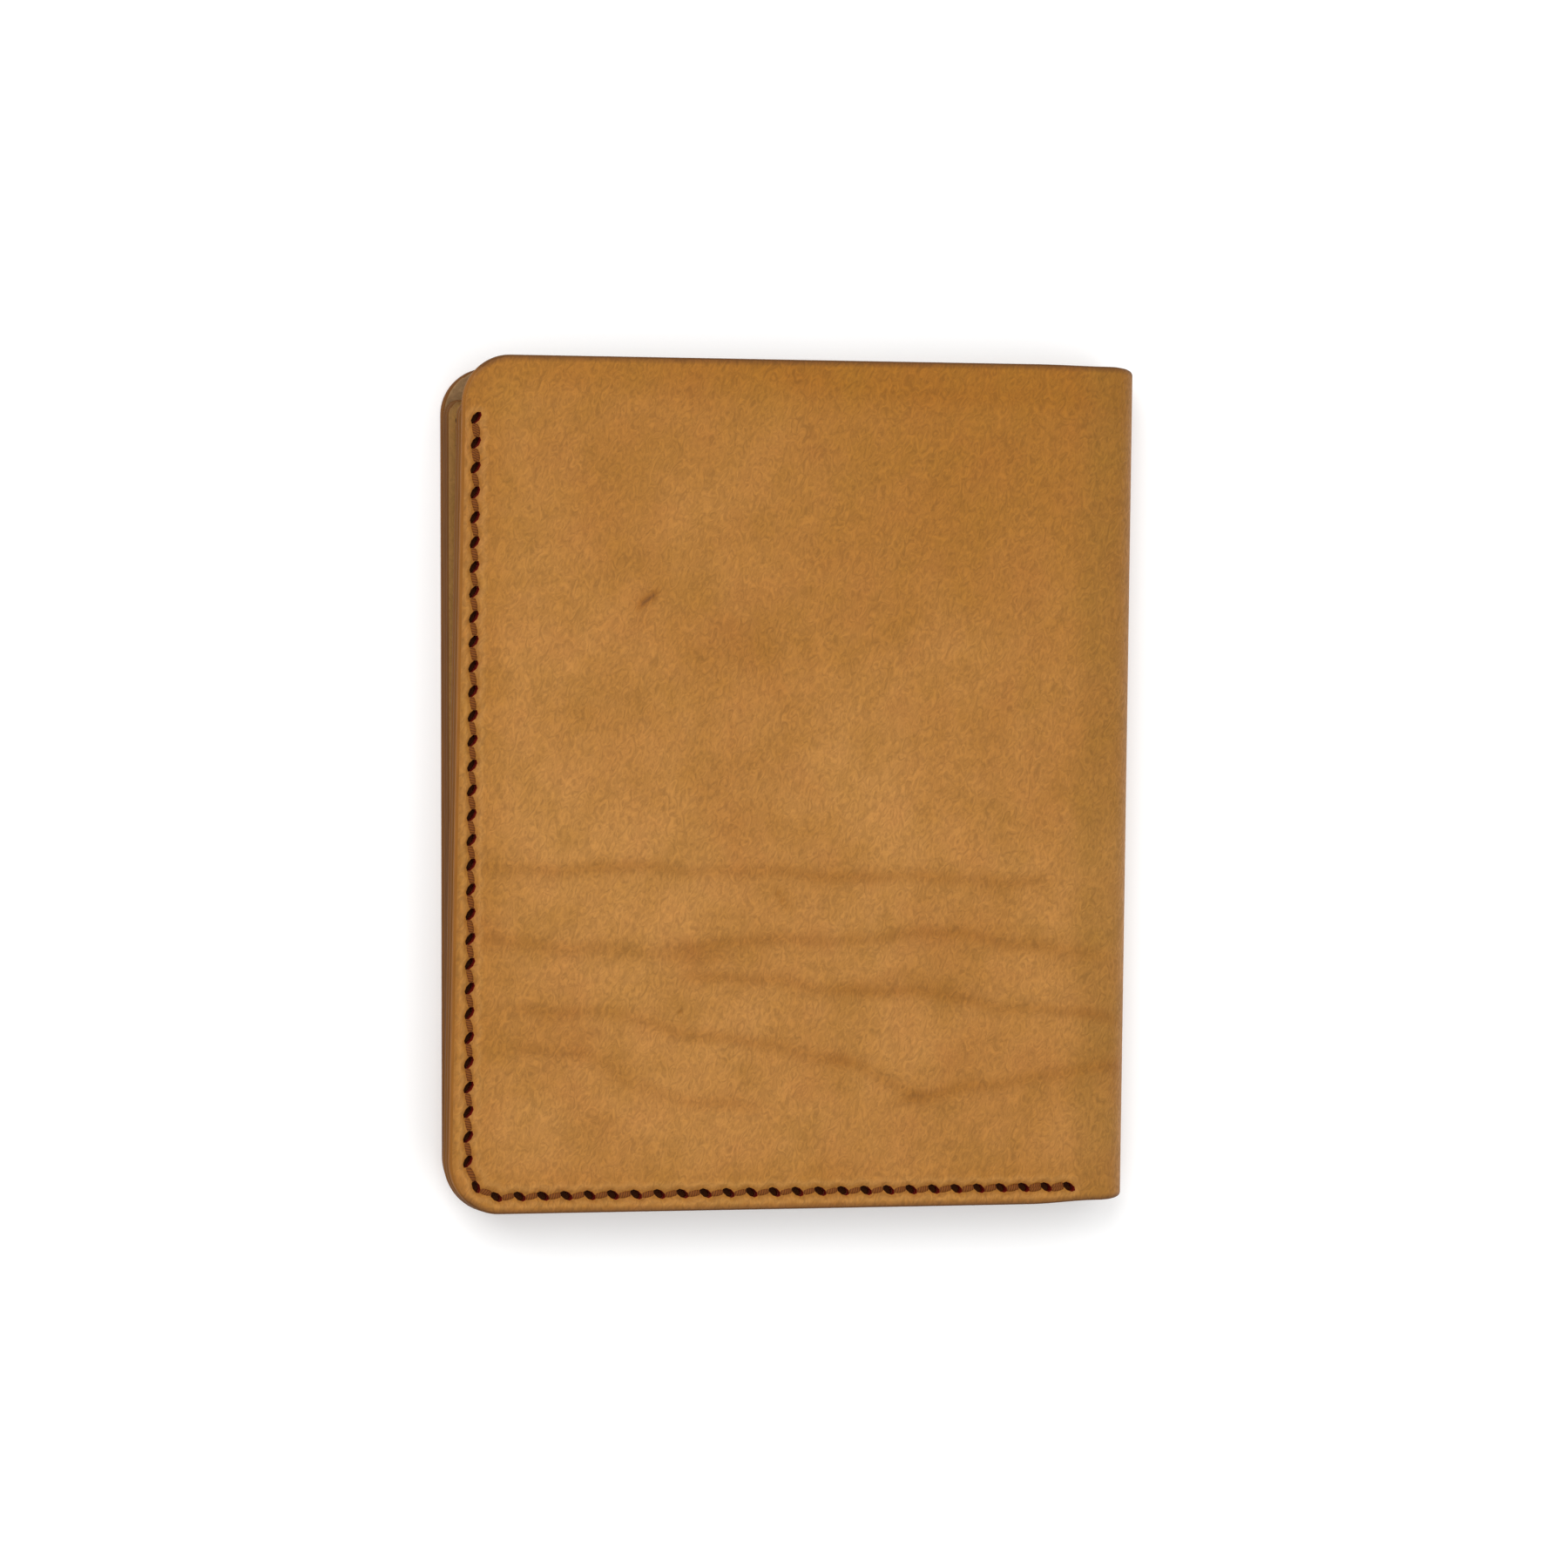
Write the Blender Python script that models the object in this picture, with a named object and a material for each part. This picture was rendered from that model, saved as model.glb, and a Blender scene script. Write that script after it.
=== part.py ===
"""Folding card holder in vegetable-tanned leather, sewn by hand with a saddle stitch.

Each half of the holder is a leaf, drawn flat in its own frame and then folded into place.  In a
leaf's frame x runs away from the fold (to -x on the back leaf, to +x on the front leaf), y runs up
the holder, and z runs from the outer face towards the inside.  The cover bends on two lines, one
beside each leaf, and the strip between them is the spine.

Row frame, in metres: the back leaf lies on the ground at z = 0, the fold is at +X, the open top of
the holder is at +Y, and the origin is on the ground under the middle of the whole object.
"""

import math

import bmesh
import bpy
from mathutils import Vector

MM = 0.001

# Cover: one piece of leather, as tall as the holder, folded round both leaves.
HEIGHT = 104.0 * MM
COVER_THICKNESS = 1.3 * MM
FOLD_RADIUS = 4.3 * MM
LEAF_WIDTH = 84.0 * MM
BACK_TRIM = 1.5 * MM
FRONT_TRIM = 0.6 * MM
BACK_DROP = 1.7 * MM
FOOT_CORNER = 6.5 * MM
HEAD_CORNER = 6.0 * MM
FOLD_RELIEF = 0.4 * MM
RELIEF_LENGTH = 9.0 * MM

# Inner leather: a panel on each leaf, and two card slots on it that open towards the fold.
INNER_THICKNESS = 0.6 * MM
BILL_GAP = 0.45 * MM
LAYER_GAP = 0.15 * MM
PANEL_DROP = 5.5 * MM
PANEL_START = 0.5 * MM
PANEL_CORNER = 2.0 * MM
SLOT_DEPTH = 50.0 * MM
ARM_INSET = 5.0 * MM

# Seams: slanted slits, sewn with one thread that has a needle at each end.
SEAM_INSET_FOOT = 2.3 * MM
SEAM_INSET_HEAD = 1.7 * MM
ROW_INSET = 2.15 * MM
COLUMN_SLITS = 31
COLUMN_TOP = 7.7 * MM
COLUMN_FOOT = 6.5 * MM
ROW_SLITS = 26
ROW_END = 3.8 * MM
ROW_START = 6.0 * MM
TACK_SLITS = 13
TACK_PITCH = 6.0 * MM
TACK_INSET = 2.5 * MM
SLIT_LENGTH = 1.5 * MM
SLIT_WIDTH = 0.8 * MM
SLANT = math.radians(45)
THREAD_RADIUS = 0.15 * MM
THREAD_GAP = 0.08 * MM
STRAND_SHIFT = 0.33 * MM
GROOVE_WIDTH = 1.4 * MM
COVER_GROOVE = 0.5 * MM
TACK_GROOVE = 0.4 * MM

# The places in the bottom row, counted in slits from the fold, where the slots begin and end.
LOWER_SLOT_AT = 5.5
UPPER_SLOT_AT = 9.5
ARM_END_AT = 10.5

FOLD_GAP = 0.3 * MM
ARC_STEP = math.radians(15)
REACH = 5.0 * MM

# What follows from the sizes above.
FOOT = -HEIGHT / 2
HEAD = HEIGHT / 2
PANEL_HEAD = HEAD - PANEL_DROP
FOLD_X = (LEAF_WIDTH - FOLD_RADIUS) / 2
BEND_ANGLES = (math.pi / 4, 3 * math.pi / 4)
PANEL_LEVEL = COVER_THICKNESS + BILL_GAP
LOWER_LEVEL = PANEL_LEVEL + INNER_THICKNESS + LAYER_GAP
UPPER_LEVEL = LOWER_LEVEL + INNER_THICKNESS + LAYER_GAP
THREAD_LIFT = THREAD_GAP + THREAD_RADIUS
UNDER_PANEL = PANEL_LEVEL - THREAD_LIFT


class Leaf:
    """One half of the holder: its outline, its seams and the empty that folds it into place."""

    def __init__(self, name, side, foot_width, head_width, drop, frame):
        self.name = name
        self.side = side
        self.foot_width = foot_width
        self.head_width = head_width
        self.drop = drop
        self.frame = frame

    def edge(self, y):
        """How far the free edge is from the fold at height y."""
        return self.foot_width + (self.head_width - self.foot_width) * (y - FOOT) / HEIGHT

    def row(self, place):
        """How far a place in the bottom row is from the fold, counted in slits."""
        pitch = (self.foot_width - ROW_START - ROW_END) / (ROW_SLITS - 1)
        return ROW_END + pitch * place

    def slot_foot(self):
        """How far the closed end of the lower slot is from the fold."""
        return self.row(LOWER_SLOT_AT) + SLOT_DEPTH

    def laid(self, points):
        """Points given as (distance from the fold, y), in the leaf's frame."""
        return [(self.side * distance, y) for distance, y in points]

    def main_seam(self):
        """Slits down the free edge, round the corner and along the bottom: (distance, y, slant)."""
        slits = []
        for i in range(COLUMN_SLITS):
            share = i / (COLUMN_SLITS - 1)
            y = (HEAD - COLUMN_TOP) * (1 - share) + (FOOT + COLUMN_FOOT) * share
            inset = SEAM_INSET_HEAD * (1 - share) + SEAM_INSET_FOOT * share
            slits.append((self.edge(y) - inset, y, -self.side * SLANT))
        inset = FOOT_CORNER - (FOOT_CORNER - ROW_INSET) * math.sqrt(0.5)
        slits.append((self.edge(FOOT) - inset, FOOT + inset, self.side * SLANT))
        for i in reversed(range(ROW_SLITS)):
            slits.append((self.row(i), FOOT + ROW_INSET, self.side * SLANT))
        return slits

    def head_seam(self):
        """Slits along the head of the slots, which miss the cover."""
        places = range(ROW_SLITS - 1, int(LOWER_SLOT_AT), -1)
        return [(self.row(i), HEAD - COLUMN_TOP, self.side * SLANT) for i in places]

    def tack_seam(self):
        """Slits across the closed end of the lower slot."""
        middle = (FOOT + PANEL_HEAD) / 2
        distance = self.slot_foot() - TACK_INSET
        offsets = [i - (TACK_SLITS - 1) / 2 for i in range(TACK_SLITS)]
        return [(distance, middle + TACK_PITCH * i, self.side * SLANT) for i in offsets]

    def top_level(self, distance):
        """How high the inner leather reaches at a distance from the fold."""
        level = PANEL_LEVEL
        if distance > self.row(LOWER_SLOT_AT):
            level = LOWER_LEVEL
        if distance > self.row(UPPER_SLOT_AT):
            level = UPPER_LEVEL
        return level + INNER_THICKNESS + THREAD_LIFT


def clear_scene():
    for old in list(bpy.data.objects):
        bpy.data.objects.remove(old, do_unlink=True)


def new_collection(name):
    made = bpy.data.collections.new(name)
    bpy.context.scene.collection.children.link(made)
    return made


def new_material(name, colour, roughness):
    made = bpy.data.materials.new(name)
    made.use_nodes = True
    shader = made.node_tree.nodes["Principled BSDF"]
    shader.inputs["Base Color"].default_value = (*colour, 1.0)
    shader.inputs["Roughness"].default_value = roughness
    shader.inputs["Metallic"].default_value = 0.0
    return made


def new_empty(name, location, collection):
    made = bpy.data.objects.new(name, None)
    made.location = location
    collection.objects.link(made)
    return made


def arc(centre, radius, start, end):
    """Points along an arc, both ends included, angles in radians."""
    steps = max(2, round(abs(end - start) / ARC_STEP))
    angles = [start + (end - start) * i / steps for i in range(steps + 1)]
    return [(centre[0] + radius * math.cos(a), centre[1] + radius * math.sin(a)) for a in angles]


def filled_curve(name, outlines, thickness, collection):
    """Flat outlines and their holes, centred on z = 0 and as thick as asked."""
    curve = bpy.data.curves.new(name, "CURVE")
    curve.dimensions = "2D"
    curve.fill_mode = "BOTH"
    curve.extrude = thickness / 2
    for outline in outlines:
        spline = curve.splines.new("POLY")
        spline.points.add(len(outline) - 1)
        for point, (x, y) in zip(spline.points, outline):
            point.co = (x, y, 0.0, 1.0)
        spline.use_cyclic_u = True
    made = bpy.data.objects.new(name, curve)
    collection.objects.link(made)
    return made


def meshed(flat):
    """The same shape as a closed mesh, with its move and turn put into the mesh."""
    bpy.context.view_layer.update()
    graph = bpy.context.evaluated_depsgraph_get()
    mesh = bpy.data.meshes.new_from_object(flat.evaluated_get(graph))
    mesh.transform(flat.matrix_world)
    shape = bmesh.new()
    shape.from_mesh(mesh)
    bmesh.ops.remove_doubles(shape, verts=shape.verts, dist=0.001 * MM)
    bmesh.ops.recalc_face_normals(shape, faces=shape.faces)
    shape.to_mesh(mesh)
    shape.free()
    name = flat.name
    collection = flat.users_collection[0]
    bpy.data.objects.remove(flat, do_unlink=True)
    made = bpy.data.objects.new(name, mesh)
    collection.objects.link(made)
    return made


def new_cutter(name, outlines, low, high, collection):
    """A prism from z = low to z = high that only cuts other objects."""
    flat = filled_curve(name, outlines, high - low, collection)
    flat.location.z = (high + low) / 2
    made = meshed(flat)
    made.hide_render = True
    made.display_type = "WIRE"
    return made


def combine(target, other, operation):
    modifier = target.modifiers.new(other.name, "BOOLEAN")
    modifier.operation = operation
    modifier.solver = "EXACT"
    modifier.object = other


def slit_outline(slit):
    """The four corners of a slit given in a leaf's frame."""
    x, y, slant = slit
    along = Vector((math.cos(slant), math.sin(slant))) * SLIT_LENGTH / 2
    across = Vector((-math.sin(slant), math.cos(slant))) * SLIT_WIDTH / 2
    centre = Vector((x, y))
    corners = ((-1, -1), (1, -1), (1, 1), (-1, 1))
    return [tuple(centre + along * a + across * b) for a, b in corners]


def slit_outlines(leaf, slits, start=0.0, end=LEAF_WIDTH):
    """Outlines of the slits that lie between two distances from the fold."""
    return [slit_outline((leaf.side * d, y, slant)) for d, y, slant in slits if start < d < end]


def groove_outline(leaf, places):
    """A band of even width round a path, run on a little past both ends."""
    path = [Vector(place) for place in leaf.laid(places)]
    path[0] += (path[0] - path[1]).normalized() * SLIT_LENGTH
    path[-1] += (path[-1] - path[-2]).normalized() * SLIT_LENGTH
    legs = [(after - before).normalized() for before, after in zip(path, path[1:])]
    left, right = [], []
    for point, before, after in zip(path, [legs[0]] + legs, legs + [legs[-1]]):
        middle = (before + after).normalized()
        half = GROOVE_WIDTH / 2 / middle.dot(after)
        offset = Vector((-middle.y, middle.x)) * half
        left.append(tuple(point + offset))
        right.append(tuple(point - offset))
    return left + right[::-1]


def cover_outline(leaf):
    """The cover leaf's outline, a little shorter at the fold and run past it."""
    head = HEAD - leaf.drop
    points = [(-REACH, HEAD - FOLD_RELIEF), (0.0, HEAD - FOLD_RELIEF), (RELIEF_LENGTH, HEAD)]
    centre = (leaf.head_width - HEAD_CORNER, head - HEAD_CORNER)
    points += arc(centre, HEAD_CORNER, math.pi / 2, 0)
    centre = (leaf.edge(FOOT) - FOOT_CORNER, FOOT + FOOT_CORNER)
    points += arc(centre, FOOT_CORNER, 0, -math.pi / 2)
    points += [(RELIEF_LENGTH, FOOT), (0.0, FOOT + FOLD_RELIEF), (-REACH, FOOT + FOLD_RELIEF)]
    return leaf.laid(points)


def inner_outline(leaf, start):
    """A panel or a slot, from start to the free edge, that leaves the cover's head bare."""
    points = [(start, FOOT)]
    centre = (leaf.edge(FOOT) - FOOT_CORNER, FOOT + FOOT_CORNER)
    points += arc(centre, FOOT_CORNER, -math.pi / 2, 0)
    centre = (leaf.edge(PANEL_HEAD) - PANEL_CORNER, PANEL_HEAD - PANEL_CORNER)
    points += arc(centre, PANEL_CORNER, 0, math.pi / 2)
    points += [(start, PANEL_HEAD)]
    return leaf.laid(points)


def tee_outline(leaf):
    """The lower slot: its two arms reach the seams and its body stays clear of them."""
    start, arm, end = leaf.row(LOWER_SLOT_AT), leaf.row(ARM_END_AT), leaf.slot_foot()
    low, high = FOOT + ARM_INSET, PANEL_HEAD - ARM_INSET
    points = [(start, FOOT), (arm, FOOT), (arm, low), (end, low)]
    points += [(end, high), (arm, high), (arm, PANEL_HEAD), (start, PANEL_HEAD)]
    return leaf.laid(points)


def cover_profile(leaf):
    """The cover leaf seen along the fold: flat, and then the start of the fold's round."""
    far = leaf.side * (LEAF_WIDTH + REACH)
    last = BEND_ANGLES[0] - FOLD_GAP / 2 / FOLD_RADIUS
    points = [(far, COVER_THICKNESS), (far, 0.0)]
    for radius, order in ((FOLD_RADIUS, 1), (FOLD_RADIUS - COVER_THICKNESS, -1)):
        bend = arc((0.0, FOLD_RADIUS), radius, -math.pi / 2, last - math.pi / 2)
        points += [(-leaf.side * x, z) for x, z in bend][::order]
    return points


def make_cover_leaf(leaf, material, parts, cutters):
    sheet = filled_curve("cover_" + leaf.name, [cover_profile(leaf)], HEIGHT + REACH, parts)
    sheet.rotation_euler.x = math.pi / 2
    sheet = meshed(sheet)
    seam = leaf.main_seam()
    corner = COLUMN_SLITS
    path = [seam[i][:2] for i in (0, corner - 1, corner, corner + 1, len(seam) - 1)]
    outline = new_cutter("outline_" + leaf.name, [cover_outline(leaf)], -REACH, 2 * REACH, cutters)
    groove = new_cutter("groove_" + leaf.name, [groove_outline(leaf, path)], -REACH, COVER_GROOVE, cutters)
    slits = new_cutter("slits_" + leaf.name, slit_outlines(leaf, seam), -REACH, REACH, cutters)
    combine(sheet, outline, "INTERSECT")
    combine(sheet, groove, "DIFFERENCE")
    combine(sheet, slits, "DIFFERENCE")
    for piece in (sheet, outline, groove, slits):
        piece.parent = leaf.frame
    sheet.data.materials.append(material)


def make_inner_sheet(name, leaf, outline, slits, level, material, parts):
    """A flat piece of inner leather with its slits, its lower face at a level."""
    flat = filled_curve(name, [outline] + slits, INNER_THICKNESS, parts)
    flat.location.z = level + INNER_THICKNESS / 2
    made = meshed(flat)
    made.parent = leaf.frame
    made.data.materials.append(material)
    return made


def make_slots(leaf, material, parts, cutters):
    """The panel and the two slots that are sewn to it."""
    edge_slits = leaf.main_seam() + leaf.head_seam()
    lower, upper = leaf.row(LOWER_SLOT_AT), leaf.row(UPPER_SLOT_AT)
    tack = slit_outlines(leaf, leaf.tack_seam())
    slits = slit_outlines(leaf, edge_slits) + tack
    make_inner_sheet("panel_" + leaf.name, leaf, inner_outline(leaf, PANEL_START), slits,
                     PANEL_LEVEL, material, parts)
    tee = make_inner_sheet("slot_lower_" + leaf.name, leaf, tee_outline(leaf), [], LOWER_LEVEL,
                           material, parts)
    path = [leaf.tack_seam()[i][:2] for i in (0, -1)]
    groove_floor = LOWER_LEVEL + INNER_THICKNESS - TACK_GROOVE
    groove = new_cutter("tack_groove_" + leaf.name, [groove_outline(leaf, path)], groove_floor,
                        groove_floor + REACH, cutters)
    slits = slit_outlines(leaf, edge_slits, lower, leaf.row(ARM_END_AT)) + tack
    holes = new_cutter("tee_slits_" + leaf.name, slits, -REACH, REACH, cutters)
    for piece in (groove, holes):
        piece.parent = leaf.frame
        combine(tee, piece, "DIFFERENCE")
    make_inner_sheet("slot_upper_" + leaf.name, leaf, inner_outline(leaf, upper),
                     slit_outlines(leaf, edge_slits, upper), UPPER_LEVEL, material, parts)


def strand(leaf, slits, inside, outside, going_out):
    """One needle's way through the slits, at alternate ends of each slit."""
    points = []
    for i, (distance, y, slant) in enumerate(slits):
        shift = STRAND_SHIFT if going_out else -STRAND_SHIFT
        place = (leaf.side * distance + shift * math.cos(slant), y + shift * math.sin(slant))
        beside = min(max(i - 1 if going_out else i + 1, 0), len(slits) - 1)
        high = max(inside[i], inside[beside])
        heights = (high, outside) if going_out else (outside, high)
        points += [(*place, z) for z in heights]
        going_out = not going_out
    return points


def make_thread(name, leaf, points, material, parts):
    curve = bpy.data.curves.new(name, "CURVE")
    curve.dimensions = "3D"
    curve.bevel_depth = THREAD_RADIUS
    curve.bevel_resolution = 0
    curve.use_fill_caps = True
    spline = curve.splines.new("POLY")
    spline.points.add(len(points) - 1)
    for point, place in zip(spline.points, points):
        point.co = (*place, 1.0)
    made = bpy.data.objects.new(name, curve)
    parts.objects.link(made)
    made = meshed(made)
    made.parent = leaf.frame
    made.data.materials.append(material)


def make_seam(name, leaf, slits, outside, material, parts):
    """A saddle stitch: two strands of one thread, joined in the first slit and cut off inside."""
    inside = [leaf.top_level(distance) for distance, _, _ in slits]
    first = strand(leaf, slits, inside, outside, True)
    second = strand(leaf, slits, inside, outside, False)
    if len(slits) % 2:
        first = first[:-1]
    else:
        second = second[:-1]
    make_thread(name, leaf, second[:1:-1] + first, material, parts)


def make_tack(leaf, material, parts):
    """A single thread across the closed end of the lower slot, sunk in its face."""
    slits = leaf.tack_seam()
    level = LOWER_LEVEL + INNER_THICKNESS - TACK_GROOVE + THREAD_LIFT
    points = strand(leaf, slits, [level] * len(slits), UNDER_PANEL, True)
    make_thread("tack_thread_" + leaf.name, leaf, points[:-1], material, parts)


def make_leaf(leaf, materials, parts, cutters):
    make_cover_leaf(leaf, materials["cover"], parts, cutters)
    make_slots(leaf, materials["inner"], parts, cutters)
    groove_level = COVER_GROOVE - THREAD_LIFT
    thread = materials["thread"]
    make_seam("seam_thread_" + leaf.name, leaf, leaf.main_seam(), groove_level, thread, parts)
    make_seam("head_thread_" + leaf.name, leaf, leaf.head_seam(), UNDER_PANEL, thread, parts)
    make_tack(leaf, thread, parts)


def bend_line(angle):
    """The point of the fold's outer face at an angle from straight down, where the cover turns."""
    return Vector((FOLD_X + FOLD_RADIUS * math.sin(angle), 0.0, FOLD_RADIUS - FOLD_RADIUS * math.cos(angle)))


def make_spine(material, parts):
    """The strip of cover between the two bend lines, with its origin on the first."""
    gap = FOLD_GAP / 2 / FOLD_RADIUS
    ends = [angle - math.pi / 2 for angle in BEND_ANGLES]
    origin = bend_line(BEND_ANGLES[0])
    centre = (FOLD_X - origin.x, FOLD_RADIUS - origin.z)
    points = arc(centre, FOLD_RADIUS, ends[0] + gap, ends[1] - gap)
    points += arc(centre, FOLD_RADIUS - COVER_THICKNESS, ends[1] - gap, ends[0] + gap)
    spine = filled_curve("cover_spine", [points], HEIGHT - 2 * FOLD_RELIEF, parts)
    spine.rotation_euler.x = math.pi / 2
    spine = meshed(spine)
    spine.location = origin
    spine.data.materials.append(material)


def main():
    clear_scene()
    parts, cutters = new_collection("card_holder"), new_collection("cutters")
    materials = {
        "cover": new_material("tan_cover_leather", (0.46, 0.20, 0.045), 0.55),
        "inner": new_material("tan_inner_leather", (0.50, 0.25, 0.075), 0.6),
        "thread": new_material("waxed_thread", (0.20, 0.085, 0.025), 0.5),
    }
    back_frame = new_empty("back_leaf", (FOLD_X, 0.0, 0.0), parts)
    hinge = bend_line(BEND_ANGLES[1])
    front_hinge = new_empty("front_bend_line", hinge, parts)
    front_frame = new_empty("front_leaf", (FOLD_X - hinge.x, 0.0, 2 * FOLD_RADIUS - hinge.z), parts)
    front_frame.rotation_euler.y = math.pi
    front_frame.parent = front_hinge
    back = Leaf("back", -1, LEAF_WIDTH - BACK_TRIM, LEAF_WIDTH, BACK_DROP, back_frame)
    front = Leaf("front", 1, LEAF_WIDTH, LEAF_WIDTH - FRONT_TRIM, 0.0, front_frame)
    for leaf in (back, front):
        make_leaf(leaf, materials, parts, cutters)
    make_spine(materials["cover"], parts)


main()
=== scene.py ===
"""Looks of the folding card holder: tan vegetable-tanned leather, sewn by hand with waxed thread.

Every piece is laid out flat first, in the pattern's own coordinates, and then put into the frame.
On each half, reach runs from the fold line out to the free edge (below zero it runs round the
fold), y runs up the holder, and depth runs from the cover's outer face towards the inside.
"""

import logging
import math
from dataclasses import dataclass
from enum import Enum
from typing import Any, Callable, Sequence

import bmesh
import bpy
import numpy as np
from mathutils import Matrix, Vector

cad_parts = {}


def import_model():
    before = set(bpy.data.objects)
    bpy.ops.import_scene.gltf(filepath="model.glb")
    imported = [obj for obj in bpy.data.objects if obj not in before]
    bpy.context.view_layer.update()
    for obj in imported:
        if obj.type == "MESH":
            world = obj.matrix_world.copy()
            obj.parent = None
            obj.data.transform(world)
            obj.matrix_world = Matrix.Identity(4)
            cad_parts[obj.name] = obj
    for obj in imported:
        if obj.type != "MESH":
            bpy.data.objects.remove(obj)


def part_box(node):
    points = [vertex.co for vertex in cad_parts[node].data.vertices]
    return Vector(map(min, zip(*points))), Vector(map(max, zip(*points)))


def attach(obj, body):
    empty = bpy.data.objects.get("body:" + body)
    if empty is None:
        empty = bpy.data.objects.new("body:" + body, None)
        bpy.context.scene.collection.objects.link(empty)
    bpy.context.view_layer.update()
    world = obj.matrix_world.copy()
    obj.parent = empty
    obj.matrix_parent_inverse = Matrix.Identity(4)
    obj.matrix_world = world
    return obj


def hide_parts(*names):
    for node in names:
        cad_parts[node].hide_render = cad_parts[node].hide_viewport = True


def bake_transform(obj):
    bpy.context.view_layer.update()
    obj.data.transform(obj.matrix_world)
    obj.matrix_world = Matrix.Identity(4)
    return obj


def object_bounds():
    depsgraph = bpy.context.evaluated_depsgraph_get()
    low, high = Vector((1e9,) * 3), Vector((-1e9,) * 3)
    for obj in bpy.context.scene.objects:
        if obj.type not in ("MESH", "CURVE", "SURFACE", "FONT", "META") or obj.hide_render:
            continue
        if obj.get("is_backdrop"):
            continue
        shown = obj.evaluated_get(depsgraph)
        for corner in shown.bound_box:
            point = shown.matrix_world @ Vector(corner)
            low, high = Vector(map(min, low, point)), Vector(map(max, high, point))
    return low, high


MM = 0.001
SEED = 7
LOG = logging.getLogger("card_holder")

Array = np.ndarray


class Side(Enum):
    """The two halves of the holder."""

    BACK = "back"
    FRONT = "front"


# ---------------------------------------------------------------- small tools


def linear(hex_colour: str) -> tuple[float, float, float, float]:
    """Turns an sRGB hex colour into linear light.

    Args:
        hex_colour: Six hex digits after a hash sign.

    Returns:
        Red, green, blue and an alpha of one.
    """
    values = [int(hex_colour[i : i + 2], 16) / 255 for i in (1, 3, 5)]
    bright = [v / 12.92 if v <= 0.04045 else ((v + 0.055) / 1.055) ** 2.4 for v in values]
    return (*bright, 1.0)


def smooth(value: Array, low: float, high: float) -> Array:
    """Eases from zero at low to one at high.

    Args:
        value: What is measured.
        low: Where the step starts; it may be above high for a falling step.
        high: Where the step ends.

    Returns:
        The eased share, from zero to one.
    """
    share = np.clip((value - low) / (high - low), 0.0, 1.0)
    return share * share * (3 - 2 * share)


def graded(stops: Sequence[tuple[float, float]]) -> Array:
    """Spaces stations along a line, closer together where detail is needed.

    Args:
        stops: Where each stretch ends and the step used inside it, in order; the first is the start.

    Returns:
        The stations in order, without repeats.
    """
    stations = [stops[0][0]]
    for end, step in stops[1:]:
        start = stations[-1]
        count = max(1, round(abs(end - start) / step))
        stations += [start + (end - start) * (i + 1) / count for i in range(count)]
    return np.array(stations)


def add_node(
    tree: bpy.types.NodeTree,
    kind: str,
    settings: dict[str, Any] | None = None,
    inputs: dict[str | int, Any] | None = None,
) -> bpy.types.Node:
    """Adds a node, sets its properties and fills its inputs.

    Args:
        tree: The tree that gets the node.
        kind: The node's type name.
        settings: Properties of the node.
        inputs: Input name or number to a value, or to the socket that is linked to it.

    Returns:
        The new node.
    """
    node = tree.nodes.new(kind)
    for name, value in (settings or {}).items():
        setattr(node, name, value)
    for name, value in (inputs or {}).items():
        if isinstance(value, bpy.types.NodeSocket):
            tree.links.new(value, node.inputs[name])
        else:
            node.inputs[name].default_value = value
    return node


def blank(name: str) -> tuple[bpy.types.Material, bpy.types.NodeTree, bpy.types.Node]:
    """Starts a material.

    Args:
        name: Its name.

    Returns:
        The material, its tree and its shader.
    """
    material = bpy.data.materials.new(name)
    material.use_nodes = True
    return material, material.node_tree, material.node_tree.nodes["Principled BSDF"]


def linked(name: str, data: bpy.types.ID) -> bpy.types.Object:
    """Makes an object and links it to the scene.

    Args:
        name: Its name.
        data: Its mesh, light or camera.

    Returns:
        The new object.
    """
    made = bpy.data.objects.new(name, data)
    bpy.context.scene.collection.objects.link(made)
    return made


def write(mesh: bpy.types.Mesh, name: str, values: Array) -> None:
    """Writes a point attribute.

    Args:
        mesh: The mesh that gets it.
        name: The attribute's name.
        values: One number for each point, or one row of three.
    """
    kind, field = ("FLOAT", "value") if values.ndim == 1 else ("FLOAT_VECTOR", "vector")
    mesh.attributes.new(name, kind, "POINT").data.foreach_set(field, values.astype(np.float32).ravel())


def apply_modifiers(obj: bpy.types.Object) -> None:
    """Gives an object its evaluated mesh and takes its modifiers away.

    Args:
        obj: The object, which keeps its name.
    """
    bpy.context.view_layer.update()
    graph = bpy.context.evaluated_depsgraph_get()
    mesh = bpy.data.meshes.new_from_object(obj.evaluated_get(graph))
    obj.modifiers.clear()
    obj.data = mesh


# ---------------------------------------------------------------- pattern


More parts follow.
